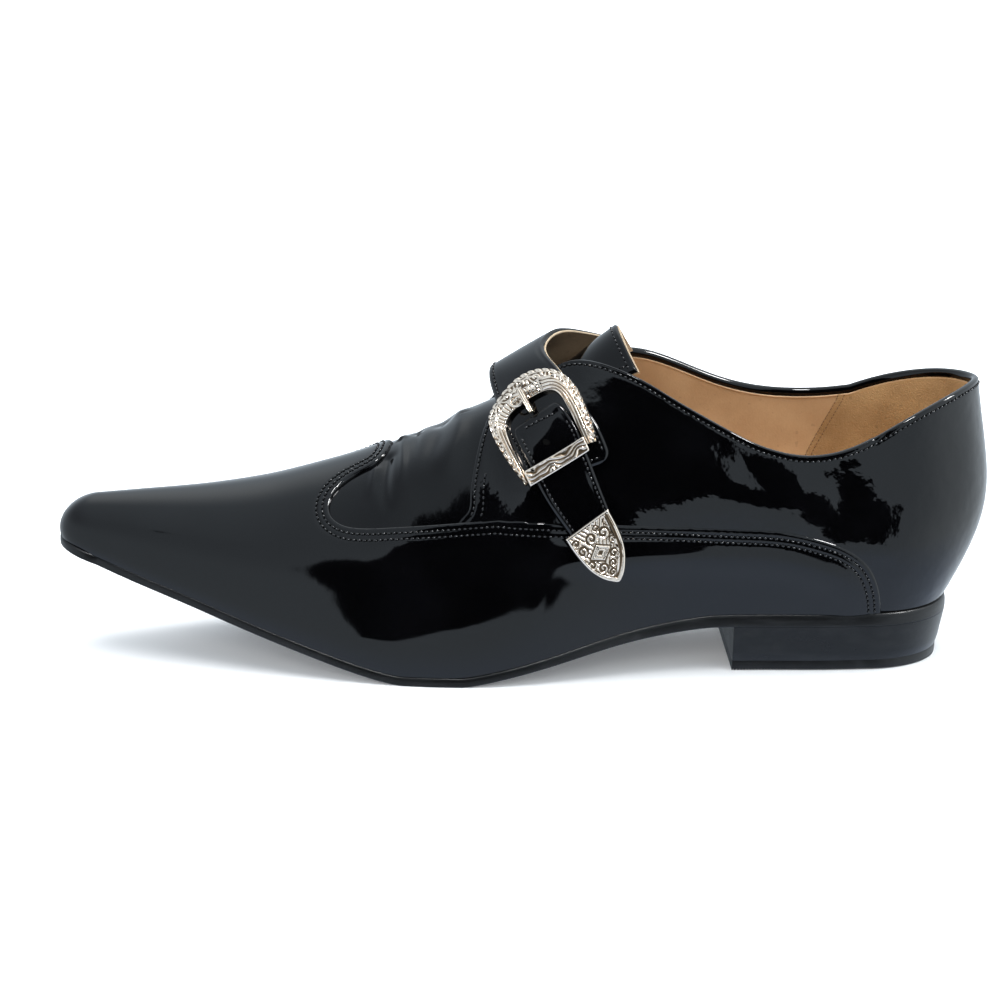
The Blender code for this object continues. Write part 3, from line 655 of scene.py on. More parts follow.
def face_normals(points, triangles):
    a, b, c = (points[triangles[:, k]] for k in range(3))
    normal = np.cross(b - a, c - a)
    total = np.zeros_like(points)
    for k in range(3):
        np.add.at(total, triangles[:, k], normal)
    return total / np.maximum(np.linalg.norm(total, axis=1), 1e-12)[:, None]


def distance_to(points, line):
    """Distance from each point to a chain of points."""
    tree = KDTree(len(line))
    for i, at in enumerate(line):
        tree.insert(at, i)
    tree.balance()
    nearest = np.array([tree.find(at)[1] for at in points])
    best = np.full(len(points), np.inf)
    for step in (-1, 0):
        start = np.clip(nearest + step, 0, len(line) - 2)
        a, b = line[start], line[start + 1]
        along = ((points - a) * (b - a)).sum(axis=1) / np.maximum(((b - a) ** 2).sum(axis=1), 1e-12)
        spot = a + np.clip(along, 0, 1)[:, None] * (b - a)
        best = np.minimum(best, np.linalg.norm(points - spot, axis=1))
    return best


def inside(outline, x, z):
    """Which points lie inside an outline seen from the side."""
    found = np.zeros(len(x), bool)
    for (x0, z0), (x1, z1) in zip(outline, np.roll(outline, -1, axis=0)):
        if z0 != z1:
            crosses = (z0 > z) != (z1 > z)
            found ^= crosses & (x < (x1 - x0) * (z - z0) / (z1 - z0) + x0)
    return found


def wall_line(points, side):
    return np.array([on_wall(x, z, side) for x, z in smooth_line(points, SEAM_SPACING)])


def past_seam(points, seam, start, end, beyond):
    """Distance from a seam, above 0 on the side that its panel covers."""
    edge = smooth_line(seam, SEAM_SPACING)
    corners = [(edge[-1][0], end), (beyond, end), (beyond, start)]
    outline = np.r_[[(edge[0][0], start)], edge, corners]
    distance = np.minimum(*[distance_to(points, wall_line(seam, side)) for side in (OUTER, INNER)])
    return distance * np.where(inside(outline, points[:, 0], points[:, 2]), 1, -1)


# Columns of the last's sheet after point and normal: distances from the seams and the top edge, side
WING, QUARTER, TOP, SIDE = 6, 7, 8, 9
# Turns at toe, throat and heel that are made gradual: reach, how far the top edge is held
EASED_TURNS = [(9.0, 0.0), (9.0, 1.0), (5.0, 1.0)]
EASING, TOP_HOLD = 80, 6
# Middle of the shoe: from_toe, sideways
MIDDLE_LINE = [(0, 0.5), (140, 0.3), (300, 0.0)]


def eased(rows, shares, spacing):
    """Sections with the turns at the toe, the throat and the heel made gradual."""
    lengths = TOE_FAN - spacing, THROAT - TOE_POLE, HEEL_POLE - THROAT
    places = np.cumsum([int(length / spacing) for length in lengths])
    order = np.arange(len(rows))[:, None]
    weight = 0
    for place, (reach, hold) in zip(places, EASED_TURNS):
        near = ridge(order - place, reach / spacing)
        weight = weight + 0.5 * near * (1 - hold * shares.T**TOP_HOLD)
    weight[0] = weight[-1] = 0
    for _ in range(int(EASING / spacing**2)):
        middle = (np.roll(rows, 1, axis=0) + np.roll(rows, -1, axis=0)) / 2
        rows = rows + weight[..., None] * (middle - rows)
    return rows


def make_last(spacing, columns):
    """The whole wall as one fine sheet, with its distance from each seam."""
    points, triangles = [], []
    shares = np.linspace(0, 1, columns)[:, None]
    toplines = {}
    for side in (OUTER, INNER):
        rows = eased(np.array([section(shares) for section in side_ribs(side, spacing)]), shares, spacing)
        quads = grid_faces(len(rows), columns, len(points), flip=side == INNER)
        points.extend(rows.reshape(-1, 3))
        triangles.append(np.r_[quads[:, [0, 1, 2]], quads[:, [0, 2, 3]]])
        toplines[side] = rows[rows[:, -1, 0] >= THROAT, -1]
    points, triangles = np.array(points), np.concatenate(triangles)
    _, first, index = np.unique(np.round(points, 4), axis=0, return_index=True, return_inverse=True)
    points, triangles = points[first], index.reshape(-1)[triangles]
    flat = (triangles == np.roll(triangles, 1, axis=1)).any(axis=1)
    triangles = triangles[~flat]
    normals = face_normals(points, triangles)
    wing = past_seam(points, WING_SEAM, OVER_TOP, UNDER_SOLE, PAST_TOE)
    quarter = past_seam(points, QUARTER_FRONT, UNDER_SOLE, OVER_TOP, PAST_HEEL)
    top = np.minimum(*[distance_to(points, toplines[side]) for side in (OUTER, INNER)])
    side = np.where(points[:, 1] < np.interp(points[:, 0], *zip(*MIDDLE_LINE)), OUTER, INNER)
    return Sheet(np.c_[points, normals, wing, quarter, top, side], triangles)


def swell_at(points):
    """How far the creases and the line along the toe lift the leather."""
    swell = np.zeros(len(points))
    forms = [(TOE_EDGE, TOE_EDGE_WIDTH, TOE_EDGE_RISE, ease((TOE_EDGE_END - points[:, 0]) / TOE_EDGE_FADE))]
    for line, width, rise, end in CREASES:
        forms.append((line, width, rise, ease((points[:, 2] - line[-1][1]) / end) if end else 1.0))
    for line, width, rise, fade in forms:
        for side in (OUTER, INNER):
            swell += fade * rise * ridge(distance_to(points, wall_line(line, side)), width)
    return swell


# Folded edge of a panel by distance from it, and its stitch rows
EDGE_AT = (0.0, 0.1, 0.3, 0.7, 1.2)
EDGE_RISE = (-0.35, 0.45, 0.8, 0.96, 1.0)
WING_ROWS, QUARTER_ROWS, COLLAR_ROW = (2.3, 4.3), (1.7, 4.6), 1.3
ROW_CUTS = (-0.9, -0.45, 0.0, 0.45, 0.9)
GROOVE_DEPTH, GROOVE_WIDTH = 0.14, 0.55
# Where the rows stop
WING_ROW_FOOT, QUARTER_ROW_TOP, COLLAR_ROW_FROM = 14, 66, 158
ROW_OFF_WING, ROW_OFF_TOP = 1, 2
# How far the panels lie under one another
CUT_MARGIN = 1.5
PLUG_UNDER_WING, PLUG_UNDER_QUARTER, PLUG_BACK = 4, 7, 160
QUARTER_UNDER_WING = 6
# Swell of the wing below its rows, lift of the quarter's front, and the seam up the back
CREASES_IN, QUARTER_CREASES_FROM, QUARTER_CREASES_IN = 6, 5, 12
WING_SWELL, WING_SWELL_AT, WING_SWELL_WIDTH = 0.9, 10.5, 5.5
WING_SWELL_FROM, WING_SWELL_IN = 144, 36
QUARTER_LIFT, LIFT_REACH, LIFT_OFF_WING, LIFT_OFF_TOP = 0.7, 14, 6, 8
BACK_SEAM_FROM, BACK_SEAM_WIDTH, BACK_SEAM_DEPTH = 285, 0.5, 0.35


def folded_edge(distance, height):
    """Height of a panel that is turned down at its edge."""
    return height * np.interp(distance, EDGE_AT, EDGE_RISE)


def stitch_groove(distance, rows):
    return -sum(GROOVE_DEPTH * ridge(distance - row, GROOVE_WIDTH) for row in rows)


def row_levels(rows):
    return [row + step for row in rows for step in ROW_CUTS]


STITCHES = {"stitching": [], "lining_stitching": []}
STITCH_STAND, STITCH_BEND = 0.14, 0.16
# Painted shade of the needle hole after a stitch, as a dark bead: start, end, breadth, spread sideways
HOLE_START, HOLE_END, HOLE_BREADTH, HOLE_SPREAD = 0.04, 0.62, 0.34, 1.9


def sew(points, normals, pitch=1.75, length=1.2, thick=0.7, sink=0.08, row="stitching"):
    """Stitches along a chain of points, kept until all are made."""
    run = running(points)
    count = int(run[-1] / pitch)
    if count < 1:
        return
    middles = (np.arange(count) + 0.5) * run[-1] / count
    for middle in middles:
        ends = (middle - length / 2, middle + length / 2)
        a, b = (np.array([np.interp(s, run, points[:, k]) for k in range(3)]) for s in ends)
        normal = np.array([np.interp(middle, run, normals[:, k]) for k in range(3)])
        STITCHES[row].append((a, b, unit(normal), thick, sink))


def beads(rows, spread):
    """Small bent beads, each from one end point to the other, as one set of points and faces."""
    along, around = np.linspace(-1, 1, 6), circle(6)
    points, faces = [], []
    for a, b, normal, thick, sink in rows:
        length, direction = np.linalg.norm(b - a), unit(b - a)
        sideways = unit(np.cross(normal, direction))
        start = len(points)
        for s in along:
            radius = thick / 2 * np.sqrt(max(1.02 - s * s, 0.03))
            centre = (a + b) / 2 + direction * s * length / 2 + normal * (sink - STITCH_BEND * s * s)
            for angle in around:
                points.append(centre + radius * (spread * np.cos(angle) * sideways + np.sin(angle) * normal))
        faces.append(grid_faces(len(along), len(around), start, loop=True))
    return points, np.concatenate(faces)


def make_stitching():
    """Every stitch, and a near-black bead of painted shade for every needle hole, as joined pieces."""
    add_piece("stitching", *beads(STITCHES["stitching"], 1.0), THREAD, "patent_leather")
    add_piece("lining_stitching", *beads(STITCHES["lining_stitching"], 1.0), SEAM_THREAD, "tan_lining")
    hole_shades = []
    for a, b, normal, _, _ in STITCHES["stitching"]:
        ahead = unit(b - a)
        hole_shades.append((b + HOLE_START * ahead, b + HOLE_END * ahead, normal, HOLE_BREADTH, 0.0))
    add_piece("needle_hole_shades", *beads(hole_shades, HOLE_SPREAD), HOLE_SHADE, "patent_leather")


def sewn_rows(sheet, column, rows, surface, test):
    """Stitches along the levels of a panel's measure."""
    normal = sheet.data[:, 3:6]
    for row in rows:
        for chain in sheet.lines(column, row):
            chain = np.array([i for i in chain if test(sheet.data[i])])
            if len(chain) > 3:
                sew(surface[chain] + STITCH_STAND * normal[chain], normal[chain])


def make_wings(last):
    """Toe piece with its wings, over everything else."""
    wings = last.part(lambda d: d[:, WING] > -CUT_MARGIN)
    for level in [*EDGE_AT, *row_levels(WING_ROWS)]:
        wings.split(WING, level)
    wings = wings.part(lambda d: d[:, WING] > 0)
    distance = wings.data[:, WING]
    height = folded_edge(distance, WING_STEP) + stitch_groove(distance, WING_ROWS)
    height += swell_at(wings.data[:, :3]) * ease(distance / CREASES_IN)
    growth = WING_SWELL * ease((wings.data[:, 0] - WING_SWELL_FROM) / WING_SWELL_IN)
    height += growth * ridge(distance - WING_SWELL_AT, WING_SWELL_WIDTH)
    surface = wings.raised(height)
    add_piece("toe_piece_and_wings", surface, wings.triangles, PATENT, "patent_leather", ["upper"])
    sewn_rows(wings, WING, WING_ROWS, surface, lambda d: d[2] > WING_ROW_FOOT)


def make_plug(last):
    """Wrinkled plug between the wings and the quarters."""
    plug = last.part(
        lambda d: (d[:, WING] < PLUG_UNDER_WING)
        & (d[:, QUARTER] < PLUG_UNDER_QUARTER)
        & (d[:, 0] < PLUG_BACK)
    ).finer()
    surface = plug.raised(swell_at(plug.data[:, :3]))
    add_piece("vamp_plug", surface, plug.triangles, PATENT_PLUG, "patent_leather")


def make_quarter(last, side, name):
    """One side of the back, under the wing and over the plug."""
    panel = last.part(
        lambda d: (d[:, QUARTER] > -CUT_MARGIN) & (d[:, WING] < QUARTER_UNDER_WING) & (d[:, SIDE] * side > 0)
    )
    for level in [*EDGE_AT, *row_levels(QUARTER_ROWS)]:
        panel.split(QUARTER, level)
    for level in row_levels([COLLAR_ROW]):
        panel.split(TOP, level)
    panel = panel.part(lambda d: d[:, QUARTER] > 0)
    distance, top, wing = panel.data[:, QUARTER], panel.data[:, TOP], panel.data[:, WING]
    front = QUARTER_LIFT * (1 - ease(distance / LIFT_REACH))
    front = front * ease(-wing / LIFT_OFF_WING) * ease(top / LIFT_OFF_TOP)
    height = folded_edge(distance, QUARTER_STEP + front) + stitch_groove(top, [COLLAR_ROW])
    height += stitch_groove(distance, QUARTER_ROWS[:1])
    height += swell_at(panel.data[:, :3]) * ease((distance - QUARTER_CREASES_FROM) / QUARTER_CREASES_IN)
    seam = np.where(panel.data[:, 0] > BACK_SEAM_FROM, ridge(panel.data[:, 1], BACK_SEAM_WIDTH), 0.0)
    surface = panel.raised(height - BACK_SEAM_DEPTH * seam)
    add_piece(name, surface, panel.triangles, PATENT_QUARTER, "patent_leather")

    def on_long_row(d):
        return d[WING] < -ROW_OFF_WING and d[TOP] > ROW_OFF_TOP

    def on_short_row(d):
        return d[WING] < -ROW_OFF_WING and d[2] < QUARTER_ROW_TOP

    sewn_rows(panel, QUARTER, QUARTER_ROWS[:1], surface, on_long_row)
    sewn_rows(panel, QUARTER, QUARTER_ROWS[1:], surface, on_short_row)
    sewn_rows(panel, TOP, [COLLAR_ROW], surface, lambda d: d[0] > COLLAR_ROW_FROM)


# Rolled edge round the collar: outwards from the wall, up along it
COLLAR_FOLD = [
    (0.58, -0.7), (0.6, -0.25), (0.5, 0.12), (0.2, 0.42), (-0.3, 0.6), (-0.85, 0.6), (-1.35, 0.42),
    (-1.75, 0.1), (-2.0, -0.4), (-2.1, -1.0), (-2.12, -1.6), (-2.08, -2.0), (-1.9, -2.2), (-1.5, -2.2),
]
# Edge of the lining that shows below it
LINING_LIP = [(-1.6, -1.9), (-2.1, -1.98), (-2.3, -2.2), (-2.3, -2.45), (-2.1, -2.65), (-1.6, -2.7)]
COLLAR_START, BELOW_TOP = 1.5, 0.97


def make_collar():
    """Folded top edge, black inside, above the lining."""
    for side, name in ((OUTER, "outer"), (INNER, "inner")):
        rows = []
        for section in side_ribs(side, 1.0):
            top, below = section(1.0), section(BELOW_TOP)
            rows.append(np.r_[top, top - below])
        rows = np.array([row for row in rows if row[0] > THROAT + COLLAR_START])
        up = unit(rows[:, 3:])
        out = unit(np.cross(np.gradient(rows[:, :3], axis=0), up) * -side)
        for profile, part, finish, slot in (
            (COLLAR_FOLD, "collar_fold", PATENT, "patent_leather"),
            (LINING_LIP, "lining_lip", LINING, "tan_lining"),
        ):
            rings = [[p + o * n + h * u for o, h in profile] for p, n, u in zip(rows[:, :3], out, up)]
            faces = grid_faces(len(rings), len(profile), flip=side == INNER)
            add_piece(f"{name}_{part}", np.reshape(rings, (-1, 3)), faces, finish, slot)


# Front of the heel grip inside: from_toe, height
GRIP_FRONT = [(264.0, 100.0), (258.0, 78.0), (249.5, 60.0), (242.0, 40.0), (238.0, 10.0)]
# Its edge, by distance from it, and its stitch rows
GRIP_EDGE_AT, GRIP_EDGE_RISE = (0.0, 0.3, 0.7, 1.1), (-0.3, 0.45, 0.6, 0.45)
GRIP_ROWS = (0.3, 2.2)
LINING_FRONT, LINING_TOP = 20, 1.9


def make_lining():
    """Tan lining inside the wall, with a suede grip round the heel."""
    coarse = make_last(2.0, 44)
    grip_edge = np.array(sorted((z, x) for x, z in GRIP_FRONT))
    front = np.interp(coarse.data[:, 2], grip_edge[:, 0], grip_edge[:, 1])
    coarse.data = np.c_[coarse.data, coarse.data[:, 0] - front]
    grip = coarse.data.shape[1] - 1
    coarse.split(TOP, LINING_TOP)
    coarse = coarse.part(lambda d: (d[:, 0] > LINING_FRONT) & ((d[:, TOP] > LINING_TOP) | (d[:, 0] < THROAT)))
    depth = np.full(len(coarse.data), -WALL)
    add_piece("lining", coarse.raised(depth), coarse.triangles[:, ::-1], LINING, "tan_lining")
    for level in (*GRIP_EDGE_AT, GRIP_ROWS[1]):
        coarse.split(grip, level)
    sheet = coarse.part(lambda d: d[:, grip] > 0)
    depth = -WALL - np.interp(sheet.data[:, grip], GRIP_EDGE_AT, GRIP_EDGE_RISE)
    points = sheet.raised(depth)
    add_piece("heel_grip", points, sheet.triangles[:, ::-1], SUEDE, "tan_lining")
    for level in GRIP_ROWS:
        for chain in sheet.lines(grip, level):
            if len(chain) > 3:
                normal = -sheet.data[chain, 3:6]
                sew(points[chain], normal, 1.3, 1.25, 0.36, 0.04, "lining_stitching")


def plan_outline(margin, spacing=1.0, start=None):
    """Outline of the sole or heel in plan: matching rows on the outer and the inner side."""
    sides = []
    for side in (OUTER, INNER):
        feet = np.array([section(0.0) for section in side_ribs(side, spacing)])[:, :2]
        along = np.gradient(feet, axis=0)
        along[0], along[-1] = (0, side), (0, -side)
        out = unit(np.c_[-along[:, 1], along[:, 0]] * side)
        sides.append(feet + margin * out)
    outer, inner = sides
    for end in (0, -1):
        outer[end, 1] = inner[end, 1] = (outer[end, 1] + inner[end, 1]) / 2
    if start is not None:
        keep = outer[:, 0] > start + 0.5 * spacing
        widths = [np.interp(start, row[:, 0], row[:, 1]) for row in (outer, inner)]
        outer = np.r_[[(start, widths[0])], outer[keep]]
        inner = np.r_[[(start, widths[1])], inner[keep]]
    return outer, inner


def add_stack(name, rows, height, finish, slot, node, crease, margin=0.0, spacing=1.0, start=None):
    """Closed piece through levels: how far each stands outwards, and what its height comes from."""
    loops = []
    for out, *measures in rows:
        outer, inner = plan_outline(margin + out, spacing, start)
        plan = np.r_[outer, inner[::-1]]
        loops.append(np.c_[plan, height(plan[:, 0], *measures)])
    count = len(loops[0])
    faces = grid_faces(len(loops), count, loop=True).tolist()
    for first, flip in ((0, False), (count * (len(loops) - 1), True)):
        for k in range(count // 2 - 1):
            face = [first + k, first + k + 1, first + count - 2 - k, first + count - 1 - k]
            faces.append(face[::-1] if flip else face)
    add_piece(name, np.concatenate(loops), faces, finish, slot, [node], crease=crease)


# Edge of the sole: outwards, share of its thickness
SOLE_EDGE_ROUND = [
    (-1.6, 0.0), (-0.14, 0.0), (-0.04, 0.03), (0.0, 0.1), (0.0, 0.3), (0.0, 0.5), (-0.03, 0.68),
    (-0.15, 0.83), (-0.4, 0.95), (-0.8, 1.0), (-2.6, 1.0),
]
# Heel block: outwards from the feather, height
HEEL_BLOCK = [
    (-1.13, LIFT_HEIGHT + 0.02), (-1.0, LIFT_HEIGHT + 0.2), (-0.2, 6.4), (0.45, 10.0), (1.1, 13.4),
    (1.44, 15.47),
]
# Top lift: outwards from the feather, height, depth of the teeth round it
TOP_LIFT = [
    (-4.2, 0.0, 0.0), (-4.0, 0.01, 0.6), (-1.25, 0.02, 0.6), (-1.15, 0.75, 0.4), (-1.1, 1.5, 0.0),
    (-1.05, 2.9, 0.0), (-1.15, 3.3, 0.0),
]
# Sock on the insole: outwards, height over the sole
INSOLE_SOCK = [(-0.3, GAP), (0.0, GAP + 0.4), (0.0, GAP + 1.5), (-0.5, GAP + INSOLE_THICKNESS)]


def make_sole():
    """Outsole, heel block with its top lift, and the insole's sock."""
    add_stack(
        "outsole_edge", SOLE_EDGE_ROUND, lambda x, share: sole_bottom(x) + share * sole_thickness(x),
        SOLE_EDGE, "sole_edge", "outsole", 50, SOLE_MARGIN,
    )
    add_stack(
        "heel_block", HEEL_BLOCK, lambda x, level: np.full_like(x, level),
        HEEL_STACK, "heel_stack", "heel", 40, spacing=0.8, start=HEEL_BREAST,
    )
    add_stack(
        "heel_top_lift", TOP_LIFT, lambda x, level, tooth: level + tooth * (np.arange(len(x)) % 2),
        RUBBER, "top_lift_rubber", "top_lift", 40, spacing=0.5, start=HEEL_BREAST,
    )
    add_stack(
        "insole_sock", INSOLE_SOCK, lambda x, over: sole_bottom(x) + sole_thickness(x) + over,
        LINING, "tan_lining", "insole", 50, -WALL - 2 * GAP, 2.0,
    )


def edge_spaced(count, edge):
    """Shares across a strip, close together at both edges. Edge is a share of the width."""
    near = edge * np.array([0.0, 0.15, 0.4, 0.8, 1.3])
    return np.r_[near, np.linspace(1.9 * edge, 1 - 1.9 * edge, count), 1 - near[::-1]]


def edge_drop(distance, radius, depth):
    """How far a cut edge is rounded down."""
    return depth * (1 - np.clip(distance / radius, 0, 1)) ** 2


class StrapRun:
    """The strap's middle surface, read by length from the keeper and millimetres across."""

    def __init__(self):
        rows = []
        for front_x, front_z, rear_x, rear_z, stand in STRAP_ROOT:
            front, rear = np.array([front_x, front_z]), np.array([rear_x, rear_z])
            rows.append([off_wall(*spot, stand, INNER) for spot in (front, (front + rear) / 2, rear)])
        for *edges, crown in STRAP_BRIDGE:
            front, rear = np.array(edges).reshape(2, 3)
            rows.append([front, (front + rear) / 2 + (0, 0, crown), rear])
        for edges in STRAP_WALL:
            front, rear = np.array(edges).reshape(2, 2)
            rows.append([off_wall(*spot, STRAP_STAND) for spot in (front, (front + rear) / 2, rear)])
        rows = np.array(rows)
        run = running(rows[:, 1])
        run -= run[len(STRAP_ROOT) + len(STRAP_BRIDGE) + 1]
        self.start, self.bridge = run[0], run[len(STRAP_ROOT)]
        self.row_at = spline(np.c_[run, rows.reshape(-1, 9)])

    def edges(self, along):
        rows = self.row_at(along)
        return rows[..., :3], rows[..., 3:6], rows[..., 6:]

    def half_width(self, along):
        front, _, rear = self.edges(along)
        return np.linalg.norm(rear - front, axis=-1) / 2

    def surface(self, along, across):
        front, middle, rear = self.edges(along)
        share = (across / self.half_width(along))[..., None]
        bulge = middle - (front + rear) / 2
        return (front + rear + share * (rear - front)) / 2 + (1 - share**2) * bulge

    def normal(self, along, across):
        step = 0.5
        ahead = self.surface(along + step, across) - self.surface(along - step, across)
        aside = self.surface(along, across + step) - self.surface(along, across - step)
        return unit(np.cross(ahead, aside))

    def at(self, along, across, height=0.0):
        along, across = np.broadcast_arrays(np.asarray(along, float), np.asarray(across, float))
        height = np.broadcast_to(np.asarray(height, float), along.shape)
        return self.surface(along, across) + height[..., None] * self.normal(along, across)

    def sew(self, along, across, height, **how):
        normal = self.normal(np.asarray(along, float), np.asarray(across, float))
        sew(self.at(along, across, height), normal, **how)


# Cut edges: radius, drop; and the dip along a stitch row
STRAP_EDGE, BILLET_EDGE = (0.9, 0.75), (0.8, 0.6)
ROW_DIP, ROW_DIP_WIDTH = 0.12, 0.5
STRAP_CORNER, STRAP_ROW, STRAP_ROW_STOP, REAR_ROW_FROM = 3.6, 1.9, 3.4, -14.0
# Over the strap's underside: foot of the leather, top and foot of its lining; where the lining ends
LEATHER_FOOT, STRAP_LINING_TOP, STRAP_LINING_FOOT = 0.25, 0.2, -0.15
STRAP_LINING_LEAD, STRAP_LINING_END, STRAP_LINING_BREADTH = 4, -12, 0.985
RAW_EDGE_RADIUS, RAW_EDGE_HEIGHT = 0.38, -0.72


def make_strap(run):
    """Strap out of the inner quarter, over the instep and down under the buckle."""
    corner_start = STRAP_END - STRAP_CORNER
    corner = STRAP_END - STRAP_CORNER * np.cos(np.linspace(0, np.pi / 2, 12))
    along = np.r_[np.arange(run.start, corner_start, 0.9), corner]
    grid_along, grid_share = np.meshgrid(along, edge_spaced(26, 0.035), indexing="ij")
    half = run.half_width(grid_along)
    into = np.clip((grid_along - corner_start) / STRAP_CORNER, 0, 1)
    reach = half - STRAP_CORNER * (1 - np.sqrt(np.maximum(1 - into**2, 0)))
    across = (2 * grid_share - 1) * reach
    edge = np.minimum(np.minimum(grid_share, 1 - grid_share) * 2 * reach, STRAP_END - grid_along)
    drop = edge_drop(edge, *STRAP_EDGE) + ROW_DIP * ridge(edge - STRAP_ROW, ROW_DIP_WIDTH)
    underside = -STRAP_THICKNESS / 2
    top = run.at(grid_along, across, STRAP_THICKNESS / 2 - drop)
    bottom = run.at(grid_along, across, underside + LEATHER_FOOT)
    add_piece("instep_strap", *slab(top, bottom), PATENT, "patent_leather", ["strap"], crease=60)

    keep = (along > run.bridge - STRAP_LINING_LEAD) & (along < STRAP_LINING_END)
    spot = grid_along[keep], across[keep] * STRAP_LINING_BREADTH
    lining = slab(run.at(*spot, underside + STRAP_LINING_TOP), run.at(*spot, underside + STRAP_LINING_FOOT))
    add_piece("strap_lining", *lining, STRAP_LINING, "tan_lining")
    turn = circle(10)
    for side, name in ((-1, "front"), (1, "rear")):
        rings = []
        for at in along[keep]:
            edge = side * run.half_width(at)
            height = RAW_EDGE_HEIGHT + RAW_EDGE_RADIUS * np.sin(turn)
            rings.append(run.at(at, edge + RAW_EDGE_RADIUS * np.cos(turn), height))
        add_rings(f"strap_{name}_raw_edge", rings, RAW_EDGE, "tan_lining")

    for side, start in ((-1, run.bridge - 3), (1, REAR_ROW_FROM)):
        line = np.arange(start, STRAP_END - STRAP_ROW_STOP, 0.5)
        run.sew(line, side * (run.half_width(line) - STRAP_ROW), STRAP_THICKNESS / 2)
    end = np.linspace(-1, 1, 40) * (run.half_width(np.array(STRAP_END)) - STRAP_ROW_STOP)
    run.sew(np.full(40, STRAP_END - STRAP_ROW), end, STRAP_THICKNESS / 2)


BILLET_CORNER, BILLET_ROUND, BILLET_ROUND_REACH = 2.0, 0.8, 4
# Its stitch rows: distance and shares of the width, pitch, and the row across its end
BILLET_ROW, BILLET_ROW_SHARES, BILLET_PITCH = 1.7, (0.095, 0.905), 1.6
END_ROW_STEP, END_ROW_ROUND = 0.32, 0.6
# Hole for the prong, a dark disc of painted shade on the billet: along, across; and its rings, radius and
# height
HOLE_ALONG, HOLE_ACROSS, HOLE_STAND = -2.1, -3.3, 0.03
HOLE_RINGS = [(1.0, -0.03), (0.92, 0.05), (0.8, 0.07), (0.7, 0.03), (0.62, 0.0), (0.02, 0.0)]


def make_billet(run):
    """Billet from its rounded end inside the buckle to the metal tip."""
    table = np.array(BILLET, float)
    edges = spline(np.c_[np.arange(len(table)), table])
    steps = np.r_[np.linspace(0, 1, 26)[:-1] ** 1.6, np.linspace(1, len(table) - 1, 60)]
    step, share = np.meshgrid(steps, edge_spaced(22, 0.04), indexing="ij")
    front_along, front, rear_along, rear, stand = np.moveaxis(edges(step), -1, 0)
    width = rear - front
    from_end = front_along - table[0][0]
    into = np.clip(1 - from_end / BILLET_CORNER, 0, 1)
    pull = BILLET_CORNER * (1 - np.sqrt(np.maximum(1 - into**2, 0)))
    share_in = pull / width + share * (1 - 2 * pull / width)
    along = front_along + share_in * (rear_along - front_along)
    along = along - BILLET_ROUND * (1 - (2 * share_in - 1) ** 2) * np.exp(-from_end / BILLET_ROUND_REACH)
    across = front + share_in * width
    edge = np.minimum(np.minimum(share, 1 - share) * width, from_end + 0.02)
    drop = edge_drop(edge, *BILLET_EDGE) + ROW_DIP * ridge(edge - BILLET_ROW, ROW_DIP_WIDTH)
    top = run.at(along, across, stand + BILLET_THICKNESS - drop)
    bottom = run.at(along, across, stand + 0.1)
    add_piece("billet_strap", *slab(top, bottom), PATENT, "patent_leather", ["billet"], crease=60)

    row = edges(np.linspace(0.65, len(table) - 1.6, 90))
    for share in BILLET_ROW_SHARES:
        spot = row[:, 0] + share * (row[:, 2] - row[:, 0])
        across = row[:, 1] + share * (row[:, 3] - row[:, 1])
        run.sew(spot, across, row[:, 4] + BILLET_THICKNESS, pitch=BILLET_PITCH)
    share = np.linspace(0.2, 0.8, 30)
    first = edges(END_ROW_STEP)
    spot = first[0] + share * (first[2] - first[0]) - END_ROW_ROUND * (1 - (2 * share - 1) ** 2)
    across = first[1] + share * (first[3] - first[1])
    run.sew(spot, across, first[4] + BILLET_THICKNESS, pitch=BILLET_PITCH)

    # The prong hole as a dark disc of painted shade
    turn = circle(24)
    rings = []
    for radius, height in HOLE_RINGS:
        where = (HOLE_ALONG + radius * np.sin(turn), HOLE_ACROSS + radius * np.cos(turn))
        rings.append(run.at(*where, BILLET_STAND + BILLET_THICKNESS + HOLE_STAND + height))
    add_rings("billet_hole_shade", rings, HOLE_SHADE, "patent_leather")


def buckle_spot(across, up):
    return KEEPER_ALONG - up - BUCKLE_SHEAR * across, BUCKLE_ACROSS + across


def curl(x, y, turns, size, hand=1):
    """A scroll: ridges that wind about its middle and die out at its rim."""
    radius = np.hypot(x, y)
    winding = np.cos(turns * 2 * np.pi * radius / size + hand * np.arctan2(y, x))
    return np.clip(winding, 0, 1) * ease((size - radius) / (0.35 * size))


# Crown of the arch's band: share of its width from the inside, share of its height
ARCH_CROWN = [
    (0, 0.45), (0.06, 0.62), (0.3, 0.9), (0.5, 1), (0.74, 0.92), (0.8, 0.8), (0.84, 0.74), (0.92, 0.8),
    (0.97, 0.6), (1, 0.3),
]
FLUTE_PITCH, LINE_PITCH, ROPE_PITCH, SCROLL_PITCH = 1.55, 0.95, 2.25, 5.4
# Shares of the width: end of the slope with lines, less what the flutes leave, middle and end of the
# scrolls, start and middle of the rope
SLOPE_END, FLUTES_LESS, SCROLL_MIDDLE, SCROLL_END, ROPE_START, ROPE_MIDDLE = 0.5, 0.14, 0.6, 0.78, 0.8, 0.9
ENGRAVED = 0.42


def wave_of(value):
    """Even waves from 0 to 1, one to each whole step of value."""
    return 0.5 + 0.5 * np.cos(2 * np.pi * value)


